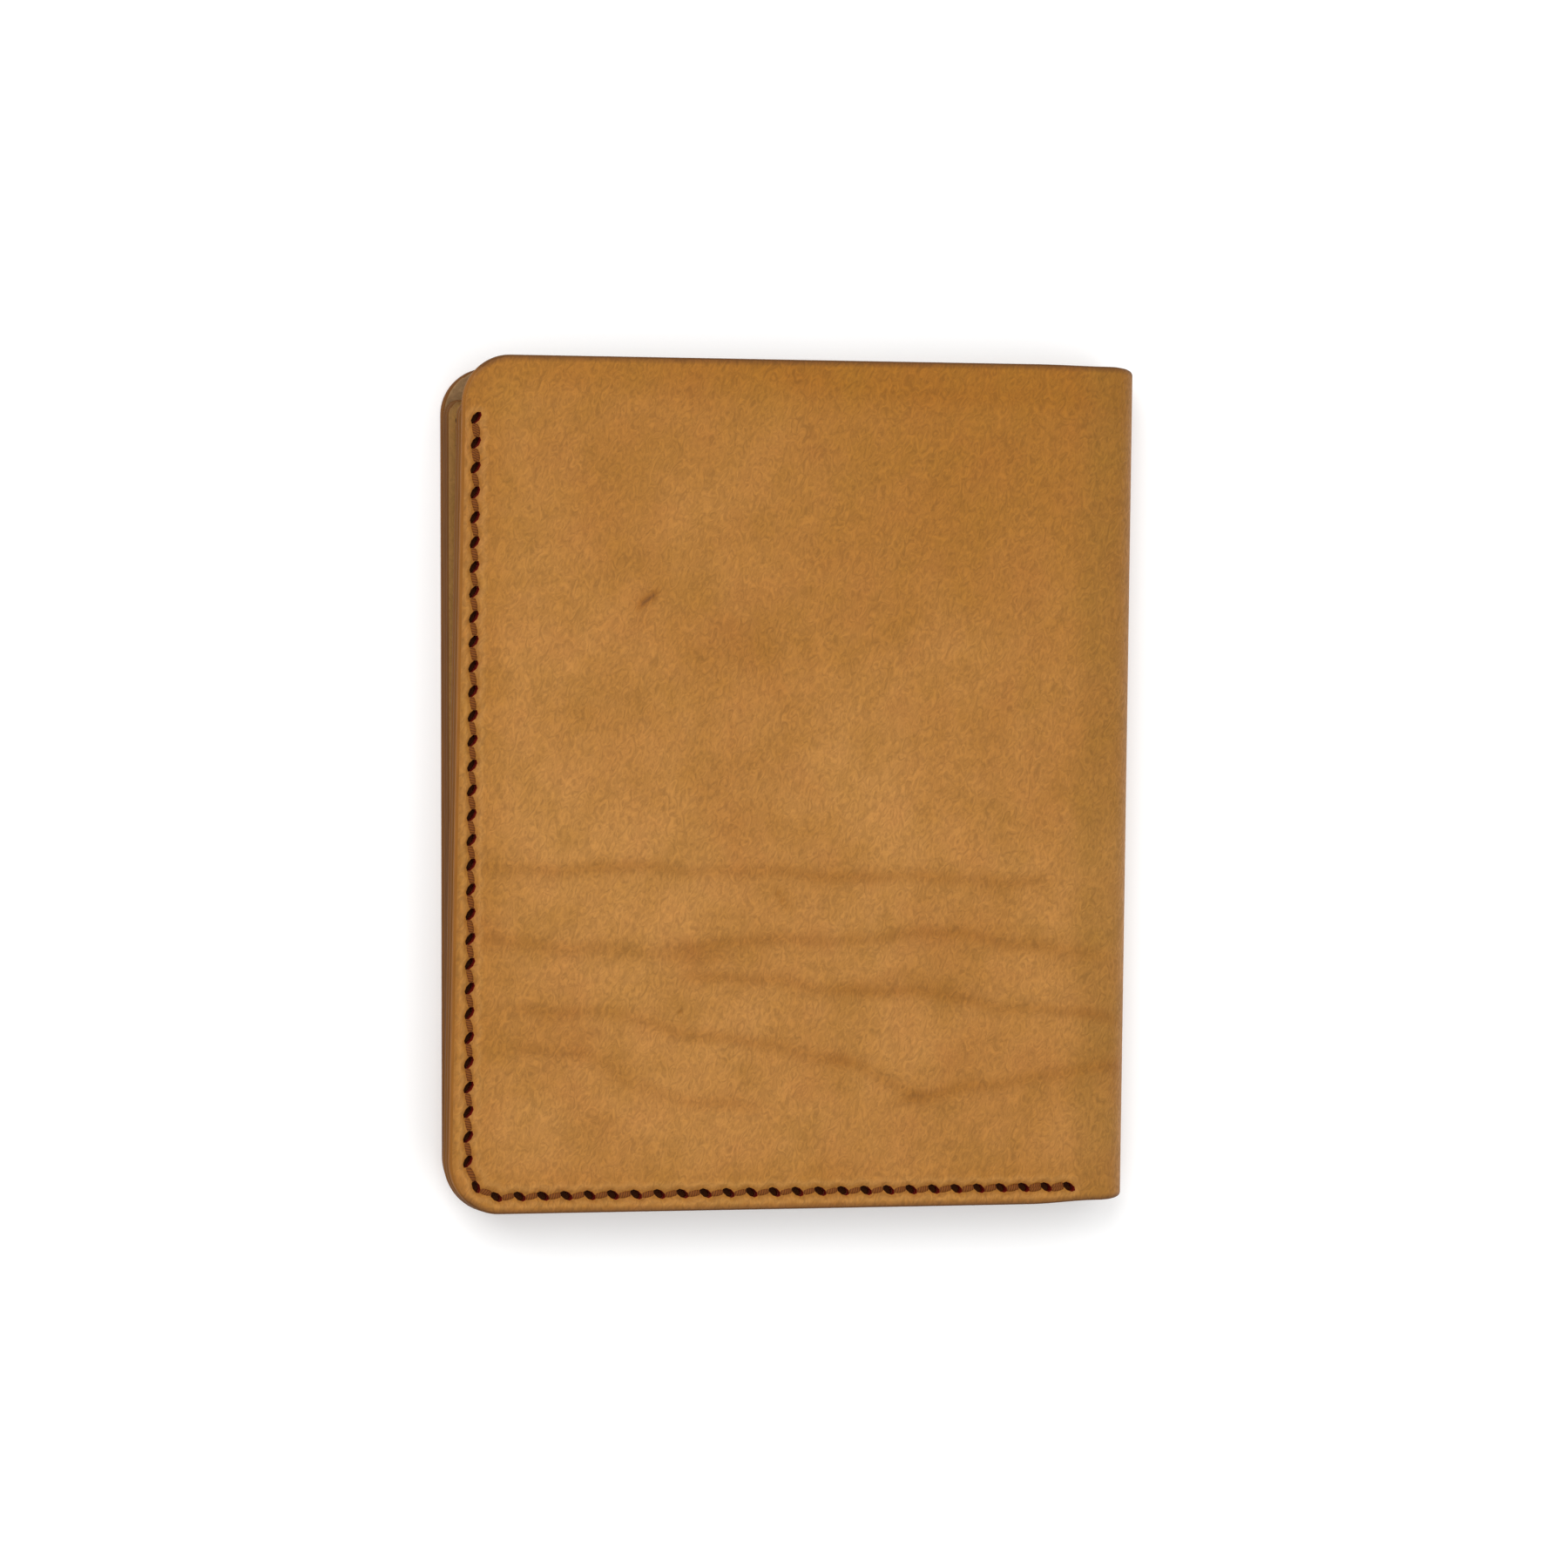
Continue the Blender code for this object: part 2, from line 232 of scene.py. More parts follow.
@dataclass(frozen=True)
class Fold:
    """The cover's round fold, which both halves run into.

    Attributes:
        line: Where the flat of each half ends, along x.
        radius: From the fold's middle to the cover's outer face.
    """

    line: float
    radius: float

    @property
    def quarter(self) -> float:
        """Length of leather from the fold line to the middle of the spine."""
        return self.radius * math.pi / 2

    def place(self, side: Side, reach: Array, y: Array, depth: Array) -> Array:
        """Puts points of the flat pattern where they lie on the closed holder.

        Args:
            side: The half that they are on.
            reach: Distance from the fold line.
            y: Height up the holder.
            depth: Distance from the outer face.

        Returns:
            Points in the row frame, one to a row.
        """
        angle = np.maximum(-reach, 0.0) / self.radius
        inner = self.radius - depth
        x = self.line - np.maximum(reach, 0.0) + inner * np.sin(angle)
        z = self.radius - inner * np.cos(angle)
        if side is Side.FRONT:
            z = 2 * self.radius - z
        return np.stack([x, y, z], -1)

    def unplace(self, side: Side, points: Array) -> tuple[Array, Array, Array]:
        """Finds where points of the closed holder are on the flat pattern.

        Args:
            side: The half that they are on.
            points: Points in the row frame, one to a row.

        Returns:
            Their reach, height and depth.
        """
        x, y, z = points.T
        if side is Side.FRONT:
            z = 2 * self.radius - z
        past = x - self.line
        angle = np.arctan2(past, self.radius - z)
        round_part = past > 0
        reach = np.where(round_part, -self.radius * angle, -past)
        depth = np.where(round_part, self.radius - np.hypot(past, self.radius - z), z)
        return reach, y, depth

    def outward(self, side: Side) -> Vector:
        """The direction that a half's outer face looks in."""
        return Vector((0, 0, 1 if side is Side.FRONT else -1))


@dataclass(frozen=True)
class Slit:
    """One awl slit.

    Attributes:
        reach: Distance of its middle from the fold line.
        y: Height of its middle.
        slant: Its turn from the x axis, in radians.
    """

    reach: float
    y: float
    slant: float


@dataclass(frozen=True)
class Pattern:
    """The flat pattern of one half: its outline and where it is sewn.

    Attributes:
        side: Which half it is.
        fold: The fold it runs into.
        foot: Height of the foot.
        head: Height of the head.
        foot_width: From the fold line to the free edge at the foot.
        head_width: The same at the head.
        drop: How much lower the head is cut at the free edge.
        panel_head: Height of the head of the inner leather.
        foot_corner: Radius of the corner at the foot.
        head_corner: Radius of the cover's corner at the head.
        inset_foot: From the free edge to the seam at the foot.
        inset_head: The same at the head.
        row_inset: From the foot to the seam along it.
        row_start: From the free edge to the first slit of the foot row.
        row_end: From the fold line to its last slit.
        column_top: From the head to the first slit of the free edge.
        column_foot: From the foot to the last slit of the free edge.
        column_slits: How many slits the free edge has.
        row_slits: How many slits the foot row has.
        lower_at: Where the lower slot opens, counted in slits of the foot row.
        upper_at: Where the upper slot opens, counted the same way.
        arm_end_at: Where the lower slot's arms end, counted the same way.
        slot_depth: From the lower slot's mouth to its closed end.
        column_slant: Turn of the slits of the free edge, from the x axis.
        row_slant: Turn of the slits of the foot row and of the head.
        corner_slant: Turn of the slit in the corner.
    """

    side: Side
    fold: Fold
    foot: float
    head: float
    foot_width: float
    head_width: float
    drop: float
    panel_head: float
    foot_corner: float = 6.5 * MM
    head_corner: float = 6.0 * MM
    inset_foot: float = 2.3 * MM
    inset_head: float = 1.7 * MM
    row_inset: float = 2.15 * MM
    row_start: float = 6.0 * MM
    row_end: float = 3.8 * MM
    column_top: float = 7.7 * MM
    column_foot: float = 6.5 * MM
    column_slits: int = 31
    row_slits: int = 26
    lower_at: float = 5.5
    upper_at: float = 9.5
    arm_end_at: float = 10.5
    slot_depth: float = 50.0 * MM
    column_slant: float = math.radians(-55)
    row_slant: float = math.radians(30)
    corner_slant: float = math.radians(62)

    def edge(self, y: Array | float) -> Array | float:
        """Distance of the free edge from the fold line at a height."""
        share = (y - self.foot) / (self.head - self.foot)
        return self.foot_width + (self.head_width - self.foot_width) * share

    def row(self, place: float) -> float:
        """Distance from the fold line of a place in the foot row, counted in slits."""
        pitch = (self.foot_width - self.row_start - self.row_end) / (self.row_slits - 1)
        return self.row_end + pitch * place

    def turn(self) -> int:
        """Which way reach runs along x, as the slits' slant needs it."""
        return 1 if self.side is Side.FRONT else -1

    def main_seam(self) -> list[Slit]:
        """Sets out the seam down the free edge, round the corner and along the foot.

        Returns:
            The slits in sewing order.
        """
        top, bottom = self.head - self.column_top, self.foot + self.column_foot
        slits = []
        for share in np.linspace(0, 1, self.column_slits):
            y = top + (bottom - top) * share
            inset = self.inset_head + (self.inset_foot - self.inset_head) * share
            slits.append(Slit(float(self.edge(y) - inset), float(y), self.column_slant))
        inset = self.foot_corner - (self.foot_corner - self.row_inset) * math.sqrt(0.5)
        slits.append(Slit(self.foot_width - inset, self.foot + inset, self.corner_slant))
        for i in reversed(range(self.row_slits)):
            slits.append(Slit(self.row(i), self.foot + self.row_inset, self.row_slant))
        return slits

    def head_seam(self) -> list[Slit]:
        """Slits along the head of the slots, in sewing order."""
        places = range(self.row_slits - 1, int(self.lower_at), -1)
        return [Slit(self.row(i), self.head - self.column_top, self.row_slant) for i in places]

    def tack_seam(self) -> list[Slit]:
        """Sets out the seam across the closed end of the lower slot.

        Returns:
            The slits from the foot up.
        """
        count, pitch, inset = 13, 6.0 * MM, 2.5 * MM
        middle = (self.foot + self.panel_head) / 2
        reach = self.row(self.lower_at) + self.slot_depth - inset
        heights = [middle + pitch * (i - (count - 1) / 2) for i in range(count)]
        return [Slit(reach, height, self.column_slant) for height in heights]

    def seam_place(self, slits: Sequence[Slit], reach: Array, y: Array) -> tuple[Array, Array]:
        """Measures points against a seam.

        Args:
            slits: The seam, in order.
            reach: Distance of the points from the fold line.
            y: Height of the points.

        Returns:
            The distance from the seam's line, which is positive on the side where each stitch
            starts, and the place along it counted in slits.
        """
        best, along = np.full(reach.shape, 1.0), np.zeros(reach.shape)
        for i, (a, b) in enumerate(zip(slits, slits[1:])):
            step = np.array([b.reach - a.reach, b.y - a.y])
            share = ((reach - a.reach) * step[0] + (y - a.y) * step[1]) / (step @ step)
            share = np.clip(share, 0, 1)
            aside = np.array([reach - a.reach - share * step[0], y - a.y - share * step[1]])
            gap = np.hypot(*aside)
            side = np.where(step[0] * aside[1] - step[1] * aside[0] < 0, -1.0, 1.0)
            near = gap < np.abs(best)
            best[near] = (gap * side)[near]
            along[near] = i + share[near]
        return best, along


# ---------------------------------------------------------------- finishes


@dataclass(frozen=True)
class GrainLeather:
    """Vegetable-tanned cowhide, grain side out, oiled by hand and burnished at its cuts.

    To the eye it is a warm, uneven tan with soft cloudy patches, a fine squiggle of grain, darker growth
    wrinkles, and a narrow brown line where the edge has been rubbed with wax. Painted shade darkens the
    seam's channel and the leather at the fold, and painted highlight lightens the lips beside the seam.
    The grain of a real hide is finer than a render shows, so it is drawn about twice as coarse.

    Attributes:
        name: The material's name.
        main: The middle tone of the hide.
        light: The paler tone of its clouds.
        dark: The darker tone of blotches and wrinkles, and of the painted shade in the seam's channel.
        warm: The tone near the cuts, and towards the head near the fold.
        fold_shade: The tone of the painted shade beside the fold.
        lip_highlight: The tone of the painted highlight on the lips beside a seam.
        edge: The tone of the waxed rim and of scars.
        cloud_size: Size of the clouds.
        blotch_size: Size of the blotches.
        squiggle_width: Width of the grain's squiggles.
        squiggle_length: Their length.
        squiggle_slant: Their turn.
        pore_size: Distance between pores.
        contrast: How much the squiggles lighten and darken the tone.
        drift: How much the hue wanders.
        roughness: Roughness of the waxed surface.
    """

    name: str
    main: str
    light: str
    dark: str
    warm: str
    fold_shade: str
    lip_highlight: str
    edge: str
    cloud_size: float = 24.0 * MM
    blotch_size: float = 7.2 * MM
    squiggle_width: float = 0.85 * MM
    squiggle_length: float = 1.6 * MM
    squiggle_slant: float = math.radians(20)
    pore_size: float = 0.42 * MM
    contrast: float = 0.2
    drift: float = 0.003
    roughness: float = 0.55

    def build(self) -> bpy.types.Material:
        """Makes the material; it reads the attributes that a sheet of leather writes.

        Returns:
            The finished material.
        """
        material, tree, shader = blank(self.name)
        hide = add_node(tree, "ShaderNodeAttribute", {"attribute_name": "hide"}).outputs["Vector"]
        marks = {
            name: add_node(tree, "ShaderNodeAttribute", {"attribute_name": name}).outputs["Fac"]
            for name in ("rim", "crease_and_shade", "lip_highlight", "tint", "fold_shade", "flank")
        }
        soft = {"Vector": hide, "Detail": 4.0, "Roughness": 0.6}
        cloudy = {"Scale": 1 / self.cloud_size, "Distortion": 0.5}
        clouds = add_node(tree, "ShaderNodeTexNoise", inputs=soft | cloudy)
        blotches = add_node(tree, "ShaderNodeTexNoise", inputs=soft | {"Scale": 1 / self.blotch_size})
        stretch = add_node(
            tree,
            "ShaderNodeMapping",
            {"vector_type": "TEXTURE"},
            {
                "Vector": hide,
                "Rotation": (0.0, 0.0, self.squiggle_slant),
                "Scale": (self.squiggle_width, self.squiggle_length, self.squiggle_width),
            },
        )
        squiggles = add_node(
            tree,
            "ShaderNodeTexNoise",
            inputs={
                "Vector": stretch.outputs[0],
                "Scale": 1.0,
                "Detail": 2.0,
                "Roughness": 0.6,
                "Distortion": 2.2,
            },
        )
        pores = add_node(tree, "ShaderNodeTexVoronoi", inputs={"Vector": hide, "Scale": 1 / self.pore_size})
        cloud, blotch, squiggle = (noise.outputs["Fac"] for noise in (clouds, blotches, squiggles))
        # In these ranges the wrinkle mark also carries painted shade in the seam's channel, the fold's tone
        # is painted shade, and the lip mark is painted highlight.
        ranges = {
            "cloudy": (cloud, 0.36, 0.64, 0.0, 1.0),
            "patchy": (blotch, 0.46, 0.74, 0.0, 0.4),
            "creased_and_shaded": (marks["crease_and_shade"], 0.0, 1.0, 0.0, 0.66),
            "scarred": (marks["crease_and_shade"], 1.0, 2.0, 0.0, 0.8),
            "shaded": (marks["fold_shade"], 0.0, 1.0, 0.0, 0.5),
            "lips": (marks["lip_highlight"], 0.0, 1.0, 0.0, 0.55),
            "rubbed": (marks["rim"], 0.85, 0.1, 0.0, 0.9),
            "off_flank": (marks["flank"], 0.0, 1.0, 1.0, 0.3),
            "grain": (squiggle, 0.3, 0.7, 1 - self.contrast, 1 + self.contrast),
            "drift": (blotch, 0.3, 0.7, 0.5 - self.drift, 0.5 + self.drift),
            "gloss": (squiggle, 0.3, 0.7, self.roughness + 0.1, self.roughness - 0.05),
        }
        share = {}
        for name, (value, start, end, low, high) in ranges.items():
            limits = {0: value, 1: start, 2: end, 3: low, 4: high}
            share[name] = add_node(tree, "ShaderNodeMapRange", inputs=limits).outputs[0]
        both = {0: share["rubbed"], 1: share["off_flank"]}
        rim = add_node(tree, "ShaderNodeMath", {"operation": "MULTIPLY"}, both).outputs[0]
        tone = linear(self.main)
        # Layers that paint light: the shade beside the fold, the seam channel's shade inside the wrinkle
        # layer, and the lips' highlight.
        layers = (
            (share["cloudy"], self.light),
            (share["patchy"], self.dark),
            (marks["tint"], self.warm),
            (share["shaded"], self.fold_shade),
            (share["creased_and_shaded"], self.dark),
            (share["scarred"], self.edge),
            (share["lips"], self.lip_highlight),
            (rim, self.edge),
        )
        for factor, colour in layers:
            sockets = {0: factor, 6: tone, 7: linear(colour)}
            tone = add_node(tree, "ShaderNodeMix", {"data_type": "RGBA"}, sockets).outputs[2]
        sockets = {"Hue": share["drift"], "Value": share["grain"], "Color": tone}
        tone = add_node(tree, "ShaderNodeHueSaturation", inputs=sockets).outputs[0]
        tree.links.new(tone, shader.inputs["Base Color"])
        tree.links.new(share["gloss"], shader.inputs["Roughness"])
        relief = add_node(
            tree,
            "ShaderNodeMath",
            {"operation": "MULTIPLY_ADD"},
            {0: pores.outputs["Distance"], 1: 0.35, 2: squiggles.outputs["Fac"]},
        )
        height = {"Strength": 0.35, "Distance": 0.12 * MM, "Height": relief.outputs[0]}
        bump = add_node(tree, "ShaderNodeBump", inputs=height)
        tree.links.new(bump.outputs[0], shader.inputs["Normal"])
        shader.inputs["Specular IOR Level"].default_value = 0.25
        return material


@dataclass(frozen=True)
class FleshSide:
    """The back of the hide, split and sanded: a dull, mottled grey-brown nap that shines nowhere.

    Attributes:
        name: The material's name.
        main: Its middle tone.
        light: The tone of raised fibres.
        dark: The tone between them.
        clump_size: Size of the clumps of fibre.
        nap_size: Size of the nap on them.
    """

    name: str = "flesh_side_leather"
    main: str = "#806240"
    light: str = "#947550"
    dark: str = "#6b4f33"
    clump_size: float = 2.6 * MM
    nap_size: float = 0.35 * MM

    def build(self) -> bpy.types.Material:
        """Makes the material; it reads the hide attribute of the mesh.

        Returns:
            The finished material.
        """
        material, tree, shader = blank(self.name)
        hide = add_node(tree, "ShaderNodeAttribute", {"attribute_name": "hide"}).outputs["Vector"]
        clumps = add_node(
            tree,
            "ShaderNodeTexNoise",
            inputs={"Vector": hide, "Scale": 1 / self.clump_size, "Detail": 5.0, "Roughness": 0.65},
        )
        nap = add_node(
            tree,
            "ShaderNodeTexNoise",
            inputs={"Vector": hide, "Scale": 1 / self.nap_size, "Detail": 2.0, "Roughness": 0.6},
        )
        shades = add_node(tree, "ShaderNodeValToRGB", inputs={0: clumps.outputs["Fac"]})
        ramp = shades.color_ramp
        ramp.elements[0].position, ramp.elements[0].color = 0.3, linear(self.dark)
        ramp.elements[1].position, ramp.elements[1].color = 0.7, linear(self.light)
        ramp.elements.new(0.5).color = linear(self.main)
        tree.links.new(shades.outputs[0], shader.inputs["Base Color"])
        height = {"Strength": 0.5, "Distance": 0.15 * MM, "Height": nap.outputs["Fac"]}
        bump = add_node(tree, "ShaderNodeBump", inputs=height)
        tree.links.new(bump.outputs[0], shader.inputs["Normal"])
        shader.inputs["Roughness"].default_value = 0.9
        shader.inputs["Specular IOR Level"].default_value = 0.2
        shader.inputs["Sheen Weight"].default_value = 0.15
        return material


@dataclass(frozen=True)
class WaxedThread:
    """Twisted polyester thread, waxed: brown, with a slanting ply and a dull gloss on each turn.

    Attributes:
        name: The material's name.
        main: The tone of a ply's back.
        groove: The tone between two plies, darker as painted shade in the hollow between them.
        ply_width: Width of one ply along the thread.
    """

    name: str = "waxed_brown_thread"
    main: str = "#7d4612"
    groove: str = "#562b0a"
    ply_width: float = 0.5 * MM

    def build(self) -> bpy.types.Material:
        """Makes the material; it reads the ply attribute, a place on the stitch's own axes.

        Returns:
            The finished material.
        """
        material, tree, shader = blank(self.name)
        ply = add_node(tree, "ShaderNodeAttribute", {"attribute_name": "ply"}).outputs["Vector"]
        turned = add_node(
            tree, "ShaderNodeMapping", inputs={"Vector": ply, "Rotation": (0.0, 0.0, math.radians(38))}
        )
        wave = add_node(
            tree,
            "ShaderNodeTexWave",
            {"wave_type": "BANDS", "bands_direction": "X", "wave_profile": "SIN"},
            {"Vector": turned.outputs[0], "Scale": 0.31 / self.ply_width, "Distortion": 0.6, "Detail": 1.0},
        )
        # The hollow between two plies is painted darker as shade, in step with the bump.
        tone = add_node(
            tree,
            "ShaderNodeMix",
            {"data_type": "RGBA"},
            {0: wave.outputs["Fac"], 6: linear(self.groove), 7: linear(self.main)},
        )
        tree.links.new(tone.outputs[2], shader.inputs["Base Color"])
        height = {"Strength": 0.5, "Distance": 0.1 * MM, "Height": wave.outputs["Fac"]}
        bump = add_node(tree, "ShaderNodeBump", inputs=height)
        tree.links.new(bump.outputs[0], shader.inputs["Normal"])
        shader.inputs["Roughness"].default_value = 0.65
        shader.inputs["Specular IOR Level"].default_value = 0.15
        return material


@dataclass(frozen=True)
class PlainFinish:
    """An even surface with only a faint noise in its tone.

    As the wall of a slit it is cut leather fibre whose deep red-brown is painted shade, so that the slit
    reads as a hole; as the studio's paper it is a pale, matt ground with a little light of its own behind it.

    Attributes:
        name: The material's name.
        main: Its tone.
        dark: The tone that the noise goes down to.
        grain: Size of the noise.
        roughness: Its roughness.
        glow: Strength of its own light.
    """

    name: str
    main: str
    dark: str
    grain: float
    roughness: float
    glow: float = 0.0

    def build(self) -> bpy.types.Material:
        """Makes the material; it reads Object coordinates.

        Returns:
            The finished material.
        """
        material, tree, shader = blank(self.name)
        place = add_node(tree, "ShaderNodeTexCoord").outputs["Object"]
        noise = add_node(tree, "ShaderNodeTexNoise", inputs={"Vector": place, "Scale": 1 / self.grain})
        tone = add_node(
            tree,
            "ShaderNodeMix",
            {"data_type": "RGBA"},
            {0: noise.outputs["Fac"], 6: linear(self.dark), 7: linear(self.main)},
        )
        tree.links.new(tone.outputs[2], shader.inputs["Base Color"])
        shader.inputs["Roughness"].default_value = self.roughness
        shader.inputs["Specular IOR Level"].default_value = 0.2
        shader.inputs["Emission Color"].default_value = linear(self.main)
        shader.inputs["Emission Strength"].default_value = self.glow
        return material


@dataclass(frozen=True)
class BurnishedEdge:
    """Cut edge of the leather, sanded, waxed and rubbed: darker lines run along it.

    The free edge is tan; the head and the foot are browner. The cover's edge darkens towards its inner face,
    and every
    layer below it is darker still: painted shade, where the edges lie in shadow under the cover.

    Attributes:
        name: The material's name.
        main: The tone of the cover's free edge.
        dark: The tone of the lines along it.
        brown: The tone of the head and the foot.
        deep_shade: The painted shade of the edge towards the cover's inner face and of the layers below it.
        layer: Distance between lines.
        shade_start: Depth where the painted shade begins.
        shade_end: Depth where it is full.
        roughness: Its roughness.
    """

    name: str
    main: str
    dark: str
    brown: str = "#5f3a12"
    deep_shade: str = "#54320d"
    layer: float = 0.3 * MM
    shade_start: float = 0.8 * MM
    shade_end: float = 1.25 * MM
    roughness: float = 0.6

    def build(self) -> bpy.types.Material:
        """Makes the material; it reads the hide attribute, whose third part is the depth.

        Returns:
            The finished material.
        """
        material, tree, shader = blank(self.name)
        hide = add_node(tree, "ShaderNodeAttribute", {"attribute_name": "hide"}).outputs["Vector"]
        flank = add_node(tree, "ShaderNodeAttribute", {"attribute_name": "flank"}).outputs["Fac"]
        along = 14 * self.layer
        scale = (1 / along, 1 / along, 1 / self.layer)
        lines = add_node(tree, "ShaderNodeMapping", inputs={"Vector": hide, "Scale": scale})
        noise = add_node(
            tree, "ShaderNodeTexNoise", inputs={"Vector": lines.outputs[0], "Scale": 1.0, "Detail": 3.0}
        )
        depth = add_node(tree, "ShaderNodeSeparateXYZ", inputs={0: hide}).outputs[2]
        # The depth layer is painted shade: edges darken with depth, where they lie in shadow under the cover.
        layers = (
            (self.main, noise.outputs["Fac"], 0.3, 0.66, 0.0, 1.0),
            (self.deep_shade, depth, self.shade_start, self.shade_end, 0.0, 0.6),
            (self.brown, flank, 0.0, 1.0, 1.0, 0.0),
        )
        tone = linear(self.dark)
        for colour, value, start, end, low, high in layers:
            limits = {0: value, 1: start, 2: end, 3: low, 4: high}
            factor = add_node(tree, "ShaderNodeMapRange", inputs=limits).outputs[0]
            sockets = {0: factor, 6: tone, 7: linear(colour)}
            tone = add_node(tree, "ShaderNodeMix", {"data_type": "RGBA"}, sockets).outputs[2]
        tree.links.new(tone, shader.inputs["Base Color"])
        height = {"Strength": 0.3, "Distance": 0.1 * MM, "Height": noise.outputs["Fac"]}
        bump = add_node(tree, "ShaderNodeBump", inputs=height)
        tree.links.new(bump.outputs[0], shader.inputs["Normal"])
        shader.inputs["Roughness"].default_value = self.roughness
        shader.inputs["Specular IOR Level"].default_value = 0.12
        return material


@dataclass(frozen=True)
class Finishes:
    """Every material of the holder, built once.

    Attributes:
        cover: Grain side of the cover.
        inner: Grain side of the panels and the slots.
        flesh: Flesh side of every sheet.
        edges: Cut edges of each half.
        slit_shade: Walls of the slits, whose dark red-brown is painted shade.
        thread: The thread.
        paper: The studio's floor.
    """

    cover: bpy.types.Material
    inner: bpy.types.Material
    flesh: bpy.types.Material
    edges: dict[Side, bpy.types.Material]
    slit_shade: bpy.types.Material
    thread: bpy.types.Material
    paper: bpy.types.Material

    @staticmethod
    def build() -> "Finishes":
        """Builds the holder's materials.

        Returns:
            The materials, each made once.
        """
        cover = GrainLeather(
            "tan_cover_leather",
            main="#9d6828",
            light="#a87435",
            dark="#87520c",
            warm="#925c10",
            fold_shade="#855a18",
            lip_highlight="#aa7738",
            edge="#5a3410",
        )
        inner = GrainLeather(
            "tan_lining_leather",
            main="#9a723c",
            light="#a57e4a",
            dark="#80592c",
            warm="#93682f",
            fold_shade="#80592c",
            lip_highlight="#a57e4a",
            edge="#6e4c26",
            cloud_size=16.0 * MM,
            blotch_size=4.8 * MM,
            contrast=0.13,
        )
        edges = {
            Side.FRONT: BurnishedEdge("burnished_tan_edge", main="#8a571d", dark="#7d4d16"),
            Side.BACK: BurnishedEdge("burnished_brown_edge", main="#74481c", dark="#613a15"),
        }
        return Finishes(
            cover=cover.build(),
            inner=inner.build(),
            flesh=FleshSide().build(),
            edges={side: edge.build() for side, edge in edges.items()},
            # Slit walls: a dark red-brown that paints the shade inside each slit.
            slit_shade=PlainFinish("painted_shade_slit_wall", "#8c1608", "#5a0a04", 0.5 * MM, 0.8).build(),
            thread=WaxedThread().build(),
            paper=PlainFinish("white_studio_paper", "#f7f7f7", "#f3f3f3", 40 * MM, 0.9, 0.12).build(),
        )


# ---------------------------------------------------------------- leather sheets


@dataclass(frozen=True)
class Wrinkle:
    """A growth wrinkle of the hide, as a soft dark line.

    Attributes:
        path: Places (reach, y) that it runs through, in millimetres, from the free edge to the fold.
        width: Its width in millimetres.
        strength: How dark it is, from zero to one.
        fade: The length in millimetres over which its ends fade away.
    """

    path: tuple[tuple[float, float], ...]
    width: float
    strength: float
    fade: float = 6.0

    def shade(self, reach: Array, y: Array) -> Array:
        """How strongly the wrinkle marks each place.

        Args:
            reach: Distance from the fold line, in metres.
            y: Height, in metres.

        Returns:
            The shade at each place.
        """
        along = np.array([place[0] for place in self.path[::-1]]) * MM
        heights = np.array([place[1] for place in self.path[::-1]]) * MM
        middle = np.interp(reach, along, heights)
        fade = self.fade * MM
        middle += 0.04 * fade * np.sin(reach / (3.1 * MM)) + 0.02 * fade * np.sin(reach / (1.3 * MM) + 1)
        ends = smooth(reach, along[0] - fade / 2, along[0] + fade / 2)
        ends *= smooth(reach, along[-1] + fade / 2, along[-1] - fade / 2)
        patchy = 0.85 + 0.15 * np.sin(reach / (4.7 * MM) + heights[0] / MM)
        across = (y - middle) / (self.width * MM / 2)
        return self.strength * ends * patchy * np.exp(-across * across)


